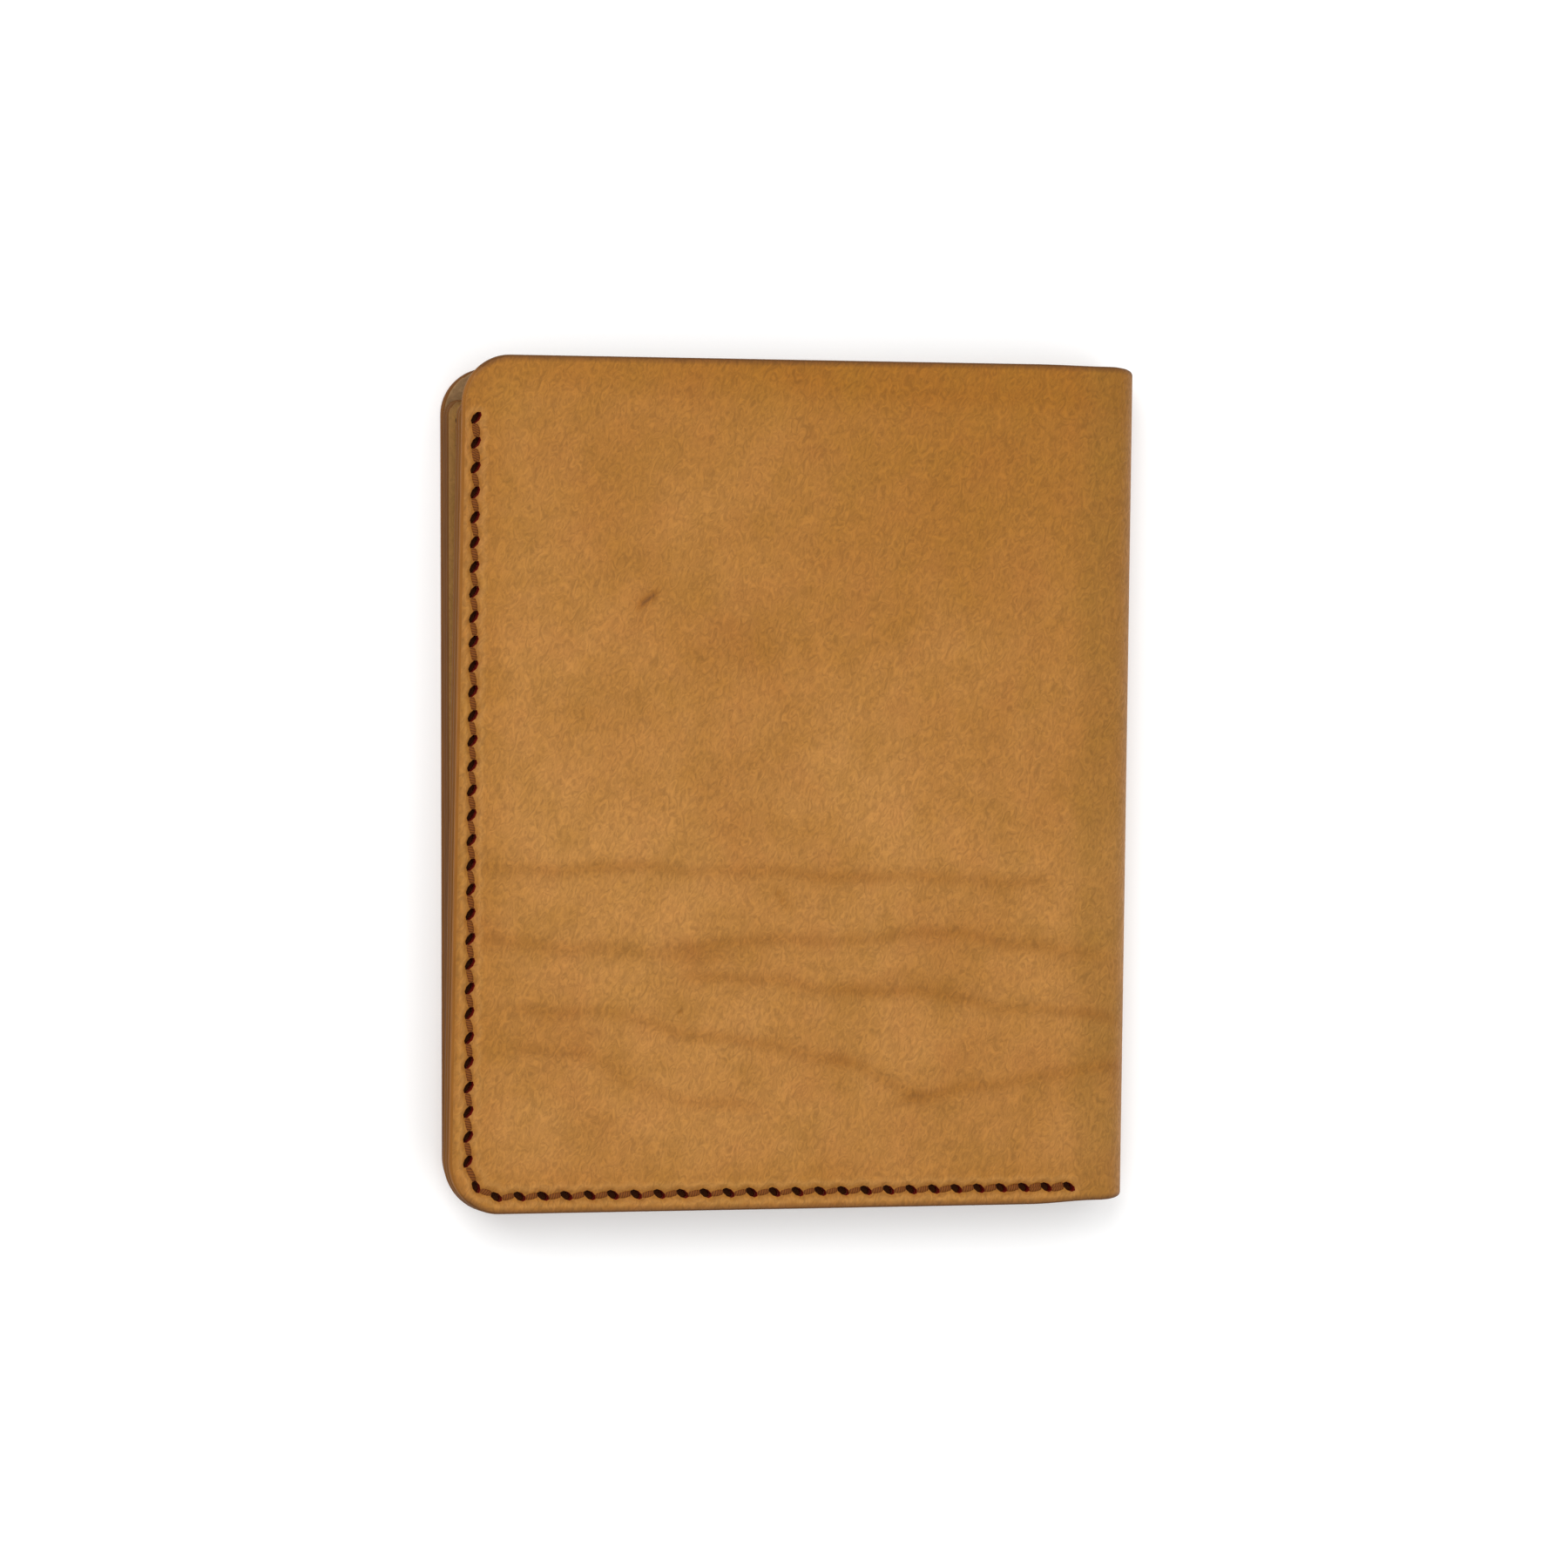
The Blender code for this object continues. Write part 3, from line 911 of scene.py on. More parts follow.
@dataclass
class Sheet:
    """A cut piece of leather that lies on one half, with rounded, burnished edges.

    Attributes:
        name: The piece's name.
        pattern: The half's pattern.
        thickness: Thickness of the leather.
        start: Where it begins, as a distance from the fold line.
        head: Height of its head.
        head_corner: Radius of its corner at the head.
        depth: Depth of its outer face.
        grain_inside: Whether its grain side looks inwards.
        open_start: Whether it begins with a cut edge.
        fine: Step between stations across a seam.
        coarse: Step between stations elsewhere.
        trim_reach: How far from the head or the foot the hand-cut outline moves the stations.
        edge_width: How far in from its outline the leather is finished as an edge.
        rounding: The most that a cut edge is rounded over.
        fullness: Power of the edge's round; two gives a quarter circle, more a squarer edge.
        seam_zone: How far in from the outline the stations stay close.
        closest: The least distance between two stations.
    """

    name: str
    pattern: Pattern
    thickness: float
    start: float
    head: float
    head_corner: float
    depth: float = 0.0
    grain_inside: bool = True
    open_start: bool = True
    fine: float = 0.35 * MM
    coarse: float = 0.7 * MM
    trim_reach: float = 30.0 * MM
    edge_width: float = 0.22 * MM
    rounding: float = 0.5 * MM
    fullness: float = 2.4
    seam_zone: float = 4.0 * MM
    closest: float = 0.02 * MM

    def level(self, reach: Array, y: Array) -> Array:
        """Depth of the face that looks outwards."""
        return np.full_like(reach, self.depth)

    def top(self, reach: Array, y: Array) -> Array:
        """Depth of the face that looks inwards."""
        return self.level(reach, y) + self.thickness

    def pressed(self, reach: Array, y: Array) -> Array:
        """How far the outer face is pressed in by its stitches."""
        return np.zeros_like(reach)

    def dented(self, reach: Array, y: Array) -> Array:
        """How far the inner face is pressed in by its stitches."""
        return np.zeros_like(reach)

    def end(self, y: Array) -> Array:
        """Where the sheet ends at a height, before its corners are rounded."""
        return self.pattern.edge(y)

    def relief(self, reach: Array) -> tuple[Array, Array]:
        """How much is cut off the plain rectangle at the head and at the foot."""
        return np.zeros_like(reach), np.zeros_like(reach)

    def trim(self, reach: Array, y: Array, back: bool = False) -> Array:
        """Moves heights of the plain rectangle to where the hand-cut piece has them, or back.

        Args:
            reach: Distance from the fold line.
            y: Height.
            back: Whether to go from the cut piece to the plain rectangle.

        Returns:
            The height after the move.
        """
        at_head, at_foot = self.relief(reach)
        high, low = self.head - self.trim_reach, self.pattern.foot + self.trim_reach
        up, down = 1 - at_head / self.trim_reach, 1 - at_foot / self.trim_reach
        if back:
            up, down = 1 / up, 1 / down
        moved = np.where(y > high, high + (y - high) * up, y)
        return np.where(y < low, low + (y - low) * down, moved)

    def inset(self, reach: Array, y: Array) -> Array:
        """Distance of places on the plain outline from the nearest cut edge.

        Args:
            reach: Distance from the fold line.
            y: Height, before the trim.

        Returns:
            The distance, which is zero on the outline.
        """
        side = self.end(y) - reach
        foot = self.pattern.foot
        nearest = np.minimum(side, np.minimum(self.head - y, y - foot))
        for radius, gap in ((self.head_corner, self.head - y), (self.pattern.foot_corner, y - foot)):
            corner = (side < radius) & (gap < radius)
            rounded = radius - np.hypot(radius - side, radius - gap)
            nearest = np.where(corner, rounded, nearest)
        if self.open_start:
            nearest = np.minimum(nearest, reach - self.start)
        return np.maximum(nearest, 0.0)

    def stations(self) -> tuple[Array, Array]:
        """Spaces the grid's stations, close together at rounded edges and across seams.

        Returns:
            Shares of the way in from the free edge, and heights.
        """
        pattern, radius = self.pattern, self.thickness / 2
        rim = radius * (1 - np.cos(np.linspace(0, math.pi / 2, 6)))
        width = pattern.foot_width - self.start
        inner = graded([(radius, 0), (1.05 * self.seam_zone, self.fine), (width - radius, self.coarse)])
        across = [rim, inner] + ([width - rim] if self.open_start else [np.array([width])])
        columns = np.unique(np.round(np.concatenate(across), 8))
        columns = columns[np.concatenate([[True], np.diff(columns) > self.closest])]
        arcs = 1 - np.cos(np.linspace(0, math.pi / 2, 13))
        body = graded(
            [
                (pattern.foot + radius, 0),
                (pattern.foot + self.seam_zone, self.fine),
                (self.head - radius, 0.75 * self.coarse),
            ]
        )
        low = pattern.foot + np.concatenate([rim, pattern.foot_corner * arcs])
        high = self.head - np.concatenate([rim, self.head_corner * arcs])
        rows = np.unique(np.round(np.concatenate([low, body, high]), 7))
        rows = rows[np.concatenate([[True], np.diff(rows) > self.closest])]
        rows[-1] = self.head
        columns[-1] = width
        return columns / width, rows

    def grid(self) -> tuple[Array, Array, Array]:
        """Lays the stations out over the plain piece.

        Returns:
            The reach, the height before the trim, and the inset of every station, row by row.
        """
        shares, rows = self.stations()
        y = np.repeat(rows[:, None], len(shares), 1)
        ends = self.end(rows)
        foot, foot_corner = self.pattern.foot, self.pattern.foot_corner
        for radius, gap in ((self.head_corner, self.head - rows), (foot_corner, rows - foot)):
            inside = np.clip(radius - gap, 0.0, radius)
            ends = ends - (radius - np.sqrt(radius * radius - inside * inside))
        reach = ends[:, None] - (ends[:, None] - self.start) * shares[None, :]
        return reach, y, self.inset(reach, y)

    def faces_of_depth(self, reach: Array, y: Array, inset: Array) -> tuple[Array, Array]:
        """Depths of the outer and the inner face, which meet round the rounded edge.

        Args:
            reach: Distance from the fold line.
            y: Height, as it is cut.
            inset: Distance from the cut edge.

        Returns:
            The outer and the inner depth.
        """
        level, top = self.level(reach, y), self.top(reach, y)
        half = (top - level) / 2
        rounding = min(self.thickness / 2, self.rounding)
        inside = np.clip(1 - inset / rounding, 0.0, 1.0)
        fall = 1 - (1 - inside**self.fullness) ** (1 / self.fullness)
        share = smooth(inset, 0.0, self.thickness)
        outer = level + half * fall + self.pressed(reach, y) * share
        inner = top - half * fall - self.dented(reach, y) * share
        return outer, inner

    def shape(self) -> bmesh.types.BMesh:
        """Builds the closed sheet.

        Returns:
            The sheet, whose faces are marked as grain, flesh or edge.
        """
        reach, y, inset = self.grid()
        inset[:, 0] = 0.0
        inset[[0, -1], :] = 0.0
        if self.open_start:
            inset[:, -1] = 0.0
        height = self.trim(reach, y)
        shape = bmesh.new()
        layers = []
        for depth in self.faces_of_depth(reach, height, inset):
            points = self.pattern.fold.place(self.pattern.side, reach, height, depth)
            layers.append([[shape.verts.new(point) for point in row] for row in points])
        order = (1, 0) if self.grain_inside else (0, 1)
        for layer, index in zip(layers, order):
            for j, (low, high) in enumerate(zip(layer, layer[1:])):
                for i in range(len(low) - 1):
                    face = shape.faces.new((low[i], low[i + 1], high[i + 1], high[i]))
                    rim = inset[j : j + 2, i : i + 2].mean()
                    face.material_index = 2 if rim < self.edge_width else index
                    face.smooth = True
        if not self.open_start:
            ends = [[row[-1] for row in layer] for layer in layers]
            for j in range(len(ends[0]) - 1):
                shape.faces.new((ends[0][j], ends[0][j + 1], ends[1][j + 1], ends[1][j]))
        bmesh.ops.remove_doubles(shape, verts=shape.verts, dist=0.001 * MM)
        bmesh.ops.recalc_face_normals(shape, faces=shape.faces)
        return shape

    def crease_and_shade(self, reach: Array, y: Array) -> Array:
        """How strongly growth wrinkles mark each place."""
        return np.zeros_like(reach)

    def tint(self, reach: Array, inset: Array, y: Array) -> Array:
        """How much warmer each place is than the middle of the sheet."""
        return 0.4 * smooth(inset, 7.0 * MM, 0.5 * MM)

    def lip_highlight(self, reach: Array, y: Array) -> Array:
        """How much painted highlight lightens the lips of a seam."""
        return np.zeros_like(reach)

    def fold_shade(self, reach: Array) -> Array:
        """How much painted shade darkens each place beside the fold."""
        return np.zeros_like(reach)

    def flank(self, reach: Array, y: Array) -> Array:
        """Whether the nearest cut is the free edge, rather than the head or the foot."""
        beside = np.minimum(self.head - y, y - self.pattern.foot)
        return smooth(beside - (self.pattern.edge(y) - reach), -1.5 * MM, 2.5 * MM)

    def dress(self, mesh: bpy.types.Mesh) -> None:
        """Writes what the leather reads: place on the hide, distance from the cut, marks and tints.

        Args:
            mesh: The finished mesh of this sheet.
        """
        points = np.empty(len(mesh.vertices) * 3)
        mesh.vertices.foreach_get("co", points)
        reach, y, depth = self.pattern.fold.unplace(self.pattern.side, points.reshape(-1, 3))
        across = (reach + self.pattern.fold.quarter) * self.pattern.turn()
        inset = self.inset(reach, self.trim(reach, y, back=True))
        values = {
            "hide": np.stack([across, y, depth], -1),
            "rim": inset / MM,
            "crease_and_shade": self.crease_and_shade(reach, y),
            "tint": self.tint(reach, inset, y),
            "fold_shade": self.fold_shade(reach),
            "lip_highlight": self.lip_highlight(reach, y),
            "flank": self.flank(reach, y),
        }
        for name, value in values.items():
            write(mesh, name, value)

    def build(
        self, grain: bpy.types.Material, finishes: Finishes, slits: bpy.types.Object
    ) -> bpy.types.Object:
        """Makes the finished piece.

        Args:
            grain: The finish of its grain side.
            finishes: The holder's finishes.
            slits: What cuts its slits.

        Returns:
            The piece, with its place in its mesh.
        """
        shape = self.shape()
        mesh = bpy.data.meshes.new(self.name)
        shape.to_mesh(mesh)
        shape.free()
        # The fourth finish is the slits' painted shade, which the cut gives to their walls.
        for material in (grain, finishes.flesh, finishes.edges[self.pattern.side], finishes.slit_shade):
            mesh.materials.append(material)
        piece = linked(self.name, mesh)
        cut = piece.modifiers.new("slits", "BOOLEAN")
        cut.operation = "DIFFERENCE"
        cut.solver = "EXACT"
        cut.material_mode = "TRANSFER"
        cut.object = slits
        apply_modifiers(piece)
        piece.data.set_sharp_from_angle(angle=math.radians(50))
        self.dress(piece.data)
        return piece


@dataclass
class CoverHalf(Sheet):
    """One half of the cover and of the fold, which meets the other half in the middle of the spine.

    Attributes:
        groove: Depth of the channel that the stitches are pulled into.
        channel_width: Half width of the channel between two slits.
        channel_pull: How much wider each half is at a slit.
        snake: How far the channel wanders from the seam's line between two slits.
        lip_aside: From the middle of the channel to the lips beside it.
        lip_width: Half width of a lip.
        lip_height: How far the lips stand up.
        swell: How much the half bulges softly between its seams.
        wrinkles: Growth wrinkles of its grain.
    """

    groove: float = 0.42 * MM
    channel_width: float = 0.56 * MM
    channel_pull: float = 0.16 * MM
    snake: float = 0.2 * MM
    lip_aside: float = 1.08 * MM
    lip_width: float = 0.34 * MM
    lip_height: float = 0.12 * MM
    swell: float = 0.12 * MM
    wrinkles: tuple[Wrinkle, ...] = ()

    def level(self, reach: Array, y: Array) -> Array:
        """Depth of the outer face, with a slow swell that dies out towards edges and fold.

        Args:
            reach: Distance from the fold line.
            y: Height.

        Returns:
            The depth at each place.
        """
        calm = smooth(reach, 0.0, 12 * MM) * smooth(self.pattern.edge(y) - reach, 3 * MM, 14 * MM)
        wave = np.sin(reach / (13 * MM) + y / (31 * MM)) * np.cos(y / (17 * MM) + reach / (45 * MM))
        return self.swell * calm * wave

    def relief(self, reach: Array) -> tuple[Array, Array]:
        """The head's slant and the eased ends of the fold.

        Args:
            reach: Distance from the fold line.

        Returns:
            How much is cut off at the head and at the foot.
        """
        eased = 0.4 * MM * smooth(reach, 9 * MM, 0.0)
        turn = np.clip(-reach / self.pattern.fold.quarter, 0.0, 1.0) ** 2
        slant = self.pattern.drop * np.clip(reach / self.pattern.head_width, 0.0, 1.0)
        return 0.4 * eased + 1.1 * MM * turn + slant, eased + 0.6 * MM * turn

    def seam_marks(self, reach: Array, y: Array) -> tuple[Array, Array, Array]:
        """The marks of the seam: it snakes a little from slit to slit.

        Args:
            reach: Distance from the fold line.
            y: Height.

        Returns:
            How near each place is to a slit, to the channel and to the lips beside it.
        """
        seam = self.pattern.main_seam()
        gap, place = self.pattern.seam_place(seam, reach, y)
        snake = self.snake * np.sin(2 * math.pi * place) * ((place > 0) & (place < len(seam) - 1))
        aside = np.abs(gap - snake)
        pull = 0.5 + 0.5 * np.cos(2 * math.pi * place)
        channel = np.exp(-((aside / (self.channel_width + self.channel_pull * pull)) ** 2))
        lips = np.exp(-(((aside - self.lip_aside) / self.lip_width) ** 2))
        return pull, channel, lips

    def pressed(self, reach: Array, y: Array) -> Array:
        """The channel round the seam, deepest at each slit, with raised lips beside it."""
        pull, channel, lips = self.seam_marks(reach, y)
        return self.groove * (0.7 + 0.3 * pull) * channel - self.lip_height * lips

    def crease_and_shade(self, reach: Array, y: Array) -> Array:
        """How strongly growth wrinkles, and painted shade in the seam's channel, darken each place."""
        _, channel, _ = self.seam_marks(reach, y)
        # The seam's channel is painted darker, as the shade that falls in it.
        return sum((wrinkle.shade(reach, y) for wrinkle in self.wrinkles), channel)

    def lip_highlight(self, reach: Array, y: Array) -> Array:
        """How much painted highlight lightens the lips of the seam."""
        _, _, lips = self.seam_marks(reach, y)
        return lips

    def tint(self, reach: Array, inset: Array, y: Array) -> Array:
        """How much warmer each place is: along the cuts, and towards the head, most near the fold."""
        headward = smooth(y, -2 * MM, 46 * MM) * (0.35 + 0.65 * smooth(reach, 66 * MM, 16 * MM))
        return np.clip(0.75 * headward + 0.55 * smooth(inset, 8.0 * MM, 0.5 * MM), 0, 1)

    def fold_shade(self, reach: Array) -> Array:
        """How much painted shade darkens the leather at the fold line, where it turns away from the light."""
        return smooth(reach, 5.5 * MM, 1.5 * MM) * smooth(reach, -8 * MM, 0.0)


@dataclass
class InnerSheet(Sheet):
    """A sheet of the thinner inner leather, squeezed down where it is sewn.

    Attributes:
        pressed_depth: Depth of its outer face where it is squeezed.
        sewn_head: Whether it is squeezed along its head too.
        keeps_top: Whether its inner face stays level, so that only the gap below it closes.
        edge_thickness: How thick it is where it is squeezed.
        arms_end: Where a sheet below it ends, or zero where there is none.
        arm_depth: Depth of its squeezed outer face over that sheet.
        squeeze_start: How far in from the outline the seam begins to press it down.
        squeeze_full: How far in it is pressed all the way.
        dent_width: Half width of the channel that the stitches press into its inner face.
        dent_depth: Depth of that channel.
    """

    pressed_depth: float = 0.0
    sewn_head: bool = True
    keeps_top: bool = False
    edge_thickness: float = 0.6 * MM
    arms_end: float = 0.0
    arm_depth: float = 0.0
    squeeze_start: float = 5.2 * MM
    squeeze_full: float = 2.9 * MM
    dent_width: float = 0.55 * MM
    dent_depth: float = 0.16 * MM

    def relief(self, reach: Array) -> tuple[Array, Array]:
        """The foot is cut as the cover's is, and eased a little more where it nears the fold."""
        return np.zeros_like(reach), 0.75 * MM * smooth(reach, 11 * MM, 0.0)

    def squeezed(self, reach: Array, y: Array) -> Array:
        """How strongly the seams press the sheet down.

        Args:
            reach: Distance from the fold line.
            y: Height.

        Returns:
            Zero where it lies free, one where it is squeezed.
        """
        gap = np.minimum(self.pattern.edge(y) - reach, y - self.pattern.foot)
        if self.sewn_head:
            gap = np.minimum(gap, self.head - y)
        return smooth(gap, self.squeeze_start, self.squeeze_full)

    def level(self, reach: Array, y: Array) -> Array:
        """Depth of the outer face, which follows what lies below it.

        Args:
            reach: Distance from the fold line.
            y: Height.

        Returns:
            The depth at each place.
        """
        low = np.full_like(reach, self.pressed_depth)
        if self.arms_end > 0:
            over = smooth(reach, self.arms_end + 5 * MM, self.arms_end + 0.5 * MM)
            low = low + (self.arm_depth - low) * over
        return self.depth + (low - self.depth) * self.squeezed(reach, y)

    def top(self, reach: Array, y: Array) -> Array:
        """Depth of the inner face.

        Args:
            reach: Distance from the fold line.
            y: Height.

        Returns:
            The depth at each place.
        """
        if self.keeps_top:
            return np.full_like(reach, self.depth + self.thickness)
        extra = (self.edge_thickness - self.thickness) * self.squeezed(reach, y)
        return self.level(reach, y) + self.thickness + extra

    def dented(self, reach: Array, y: Array) -> Array:
        """The shallow channel that the stitches press into the inner face.

        Args:
            reach: Distance from the fold line.
            y: Height.

        Returns:
            How far the face is pressed in.
        """
        depth = np.zeros_like(reach)
        for seam in (self.pattern.main_seam(), self.pattern.head_seam()):
            gap, place = self.pattern.seam_place(seam, reach, y)
            pull = 0.5 + 0.5 * np.cos(2 * math.pi * place)
            channel = np.exp(-((gap / self.dent_width) ** 2))
            depth = np.maximum(depth, self.dent_depth * (0.6 + 0.4 * pull) * channel)
        return depth


@dataclass
class LowerSlot(InnerSheet):
    """The lower card slot: a T whose arms reach the seams and whose body is tacked to the panel.

    Attributes:
        arm_inset: How far the body stays from the head and the foot.
        shoulder: Height of the step between the body and an arm.
    """

    arm_inset: float = 5.0 * MM
    shoulder: float = 0.03 * MM

    def end(self, y: Array) -> Array:
        """Where the T ends.

        Args:
            y: Height.

        Returns:
            The end of its body or of its arms, as a distance from the fold line.
        """
        low, high = self.pattern.foot + self.arm_inset, self.head - self.arm_inset
        body = self.pattern.row(self.pattern.lower_at) + self.pattern.slot_depth
        arm = self.pattern.row(self.pattern.arm_end_at)
        return np.where((y > low) & (y < high), body, arm)

    def stations(self) -> tuple[Array, Array]:
        """Spaces the stations, with a close pair of rows at each shoulder of the T.

        Returns:
            Shares of the way in from the free edge, and heights.
        """
        shares, rows = super().stations()
        low, high = self.pattern.foot + self.arm_inset, self.head - self.arm_inset
        shoulders = np.array([low, low + self.shoulder, high - self.shoulder, high])
        clear = np.all(np.abs(rows[:, None] - shoulders[None, :]) > 2 * self.closest, axis=1)
        return shares, np.sort(np.concatenate([rows[clear], shoulders]))

    def inset(self, reach: Array, y: Array) -> Array:
        """Distance of places from the nearest cut edge, with square corners.

        Args:
            reach: Distance from the fold line.
            y: Height.

        Returns:
            The distance, which is zero on the outline.
        """
        beside = np.minimum(self.end(y) - reach, reach - self.start)
        above = np.minimum(self.head - y, y - self.pattern.foot)
        return np.maximum(np.minimum(beside, above), 0.0)

    def grid(self) -> tuple[Array, Array, Array]:
        """Lays the stations out over the T, which has no rounded corners.

        Returns:
            The reach, the height and the inset of every station, row by row.
        """
        shares, rows = self.stations()
        y = np.repeat(rows[:, None], len(shares), 1)
        ends = self.end(rows)
        reach = ends[:, None] - (ends[:, None] - self.start) * shares[None, :]
        return reach, y, self.inset(reach, y)


# ---------------------------------------------------------------- stitches


@dataclass
class Stamp:
    """A small shape that Geometry Nodes set down along a seam.

    Attributes:
        name: Name of the finished object.
        material: Its finish.
        sway: The most that the hand turns one of them off its line, in radians.
    """

    name: str
    material: bpy.types.Material
    sway: float = 0.05

    def sizes(self) -> dict[str, float]:
        """The tree's named inputs and their values."""
        return {}

    def unit(self, tree: bpy.types.NodeTree, size: dict[str, bpy.types.NodeSocket]) -> bpy.types.NodeSocket:
        """Adds the nodes of one shape, which lies along x with z away from the leather.

        Args:
            tree: The tree.
            size: The tree's inputs by name.

        Returns:
            The socket that gives the shape.
        """
        raise NotImplementedError

    def tree(self) -> bpy.types.NodeTree:
        """Builds the tree that sets the shape down on each point, turned and stretched.

        Returns:
            The tree, with the shape's sizes and a seed as its inputs.
        """
        tree = bpy.data.node_groups.new(self.name, "GeometryNodeTree")
        tree.interface.new_socket("Geometry", in_out="INPUT", socket_type="NodeSocketGeometry")
        tree.interface.new_socket("Geometry", in_out="OUTPUT", socket_type="NodeSocketGeometry")
        for name in self.sizes():
            tree.interface.new_socket(name, in_out="INPUT", socket_type="NodeSocketFloat")
        tree.interface.new_socket("Seed", in_out="INPUT", socket_type="NodeSocketInt")
        source = tree.nodes.new("NodeGroupInput")
        size = {name: source.outputs[name] for name in self.sizes()}
        unit = self.unit(tree, size)
        turn, span = (
            add_node(tree, "GeometryNodeInputNamedAttribute", {"data_type": "FLOAT_VECTOR"}, {"Name": name})
            for name in ("turn", "span")
        )
        facing = add_node(tree, "FunctionNodeEulerToRotation", inputs={0: turn.outputs["Attribute"]})
        sway = add_node(
            tree,
            "FunctionNodeRandomValue",
            {"data_type": "FLOAT_VECTOR"},
            {0: (0.0, 0.0, -self.sway), 1: (0.0, 0.0, self.sway), "Seed": source.outputs["Seed"]},
        )
        nudge = add_node(tree, "FunctionNodeEulerToRotation", inputs={0: sway.outputs["Value"]})
        swayed = add_node(
            tree,
            "FunctionNodeRotateRotation",
            {"rotation_space": "LOCAL"},
            {0: facing.outputs[0], 1: nudge.outputs[0]},
        )
        points = add_node(tree, "GeometryNodeMeshToPoints", inputs={0: source.outputs["Geometry"]})
        copies = add_node(
            tree,
            "GeometryNodeInstanceOnPoints",
            inputs={
                "Points": points.outputs[0],
                "Instance": unit,
                "Rotation": swayed.outputs[0],
                "Scale": span.outputs["Attribute"],
            },
        )
        real = add_node(tree, "GeometryNodeRealizeInstances", inputs={0: copies.outputs[0]})
        dressed = add_node(
            tree, "GeometryNodeSetMaterial", inputs={"Geometry": real.outputs[0], "Material": self.material}
        )
        end = tree.nodes.new("NodeGroupOutput")
        tree.links.new(dressed.outputs[0], end.inputs["Geometry"])
        return tree

    def build(self, places: Sequence[tuple[Vector, Matrix, Vector]]) -> bpy.types.Object:
        """Sets the shape down at each place and makes a plain mesh of the result.

        Args:
            places: The middle, the turn and the stretch of each one.

        Returns:
            The finished object.
        """
        mesh = bpy.data.meshes.new(self.name)
        mesh.from_pydata([tuple(middle) for middle, _, _ in places], [], [])
        write(mesh, "turn", np.array([turn.to_euler() for _, turn, _ in places]))
        write(mesh, "span", np.array([span for _, _, span in places]))
        made = linked(self.name, mesh)
        tree = self.tree()
        nodes = made.modifiers.new("stamped", "NODES")
        nodes.node_group = tree
        inputs = [item for item in tree.interface.items_tree if item.in_out == "INPUT"]
        sockets = {item.name: item.identifier for item in inputs}
        for name, value in self.sizes().items():
            nodes[sockets[name]] = value
        nodes[sockets["Seed"]] = SEED
        apply_modifiers(made)
        for name in ("turn", "span"):
            if name in made.data.attributes:
                made.data.attributes.remove(made.data.attributes[name])
        return made


@dataclass
class SlitShape(Stamp):
    """The shape of an awl slit: as a blade it cuts the slit, and as thread it fills the slit's middle.

    Attributes:
        length: Length of the slit.
        width: Its width, pulled open by the thread.
        reach: Length of the shape before it is stretched.
    """

    length: float = 1.8 * MM
    width: float = 0.98 * MM
    reach: float = 10.0 * MM

    def sizes(self) -> dict[str, float]:
        """The slit's length and width, and the length of the shape."""
        return {"Length": self.length, "Width": self.width, "Depth": self.reach}

    def unit(self, tree: bpy.types.NodeTree, size: dict[str, bpy.types.NodeSocket]) -> bpy.types.NodeSocket:
        """Adds the nodes of one shape, a flattened prism.

        Args:
            tree: The tree.
            size: The tree's inputs by name.

        Returns:
            The socket that gives the prism.
        """
        prism = add_node(
            tree, "GeometryNodeMeshCylinder", inputs={"Vertices": 8, "Radius": 0.5, "Depth": size["Depth"]}
        )
        flat = add_node(tree, "ShaderNodeCombineXYZ", inputs={0: size["Length"], 1: size["Width"], 2: 1.0})
        sized = {"Geometry": prism.outputs["Mesh"], "Scale": flat.outputs[0]}
        return add_node(tree, "GeometryNodeTransform", inputs=sized).outputs[0]


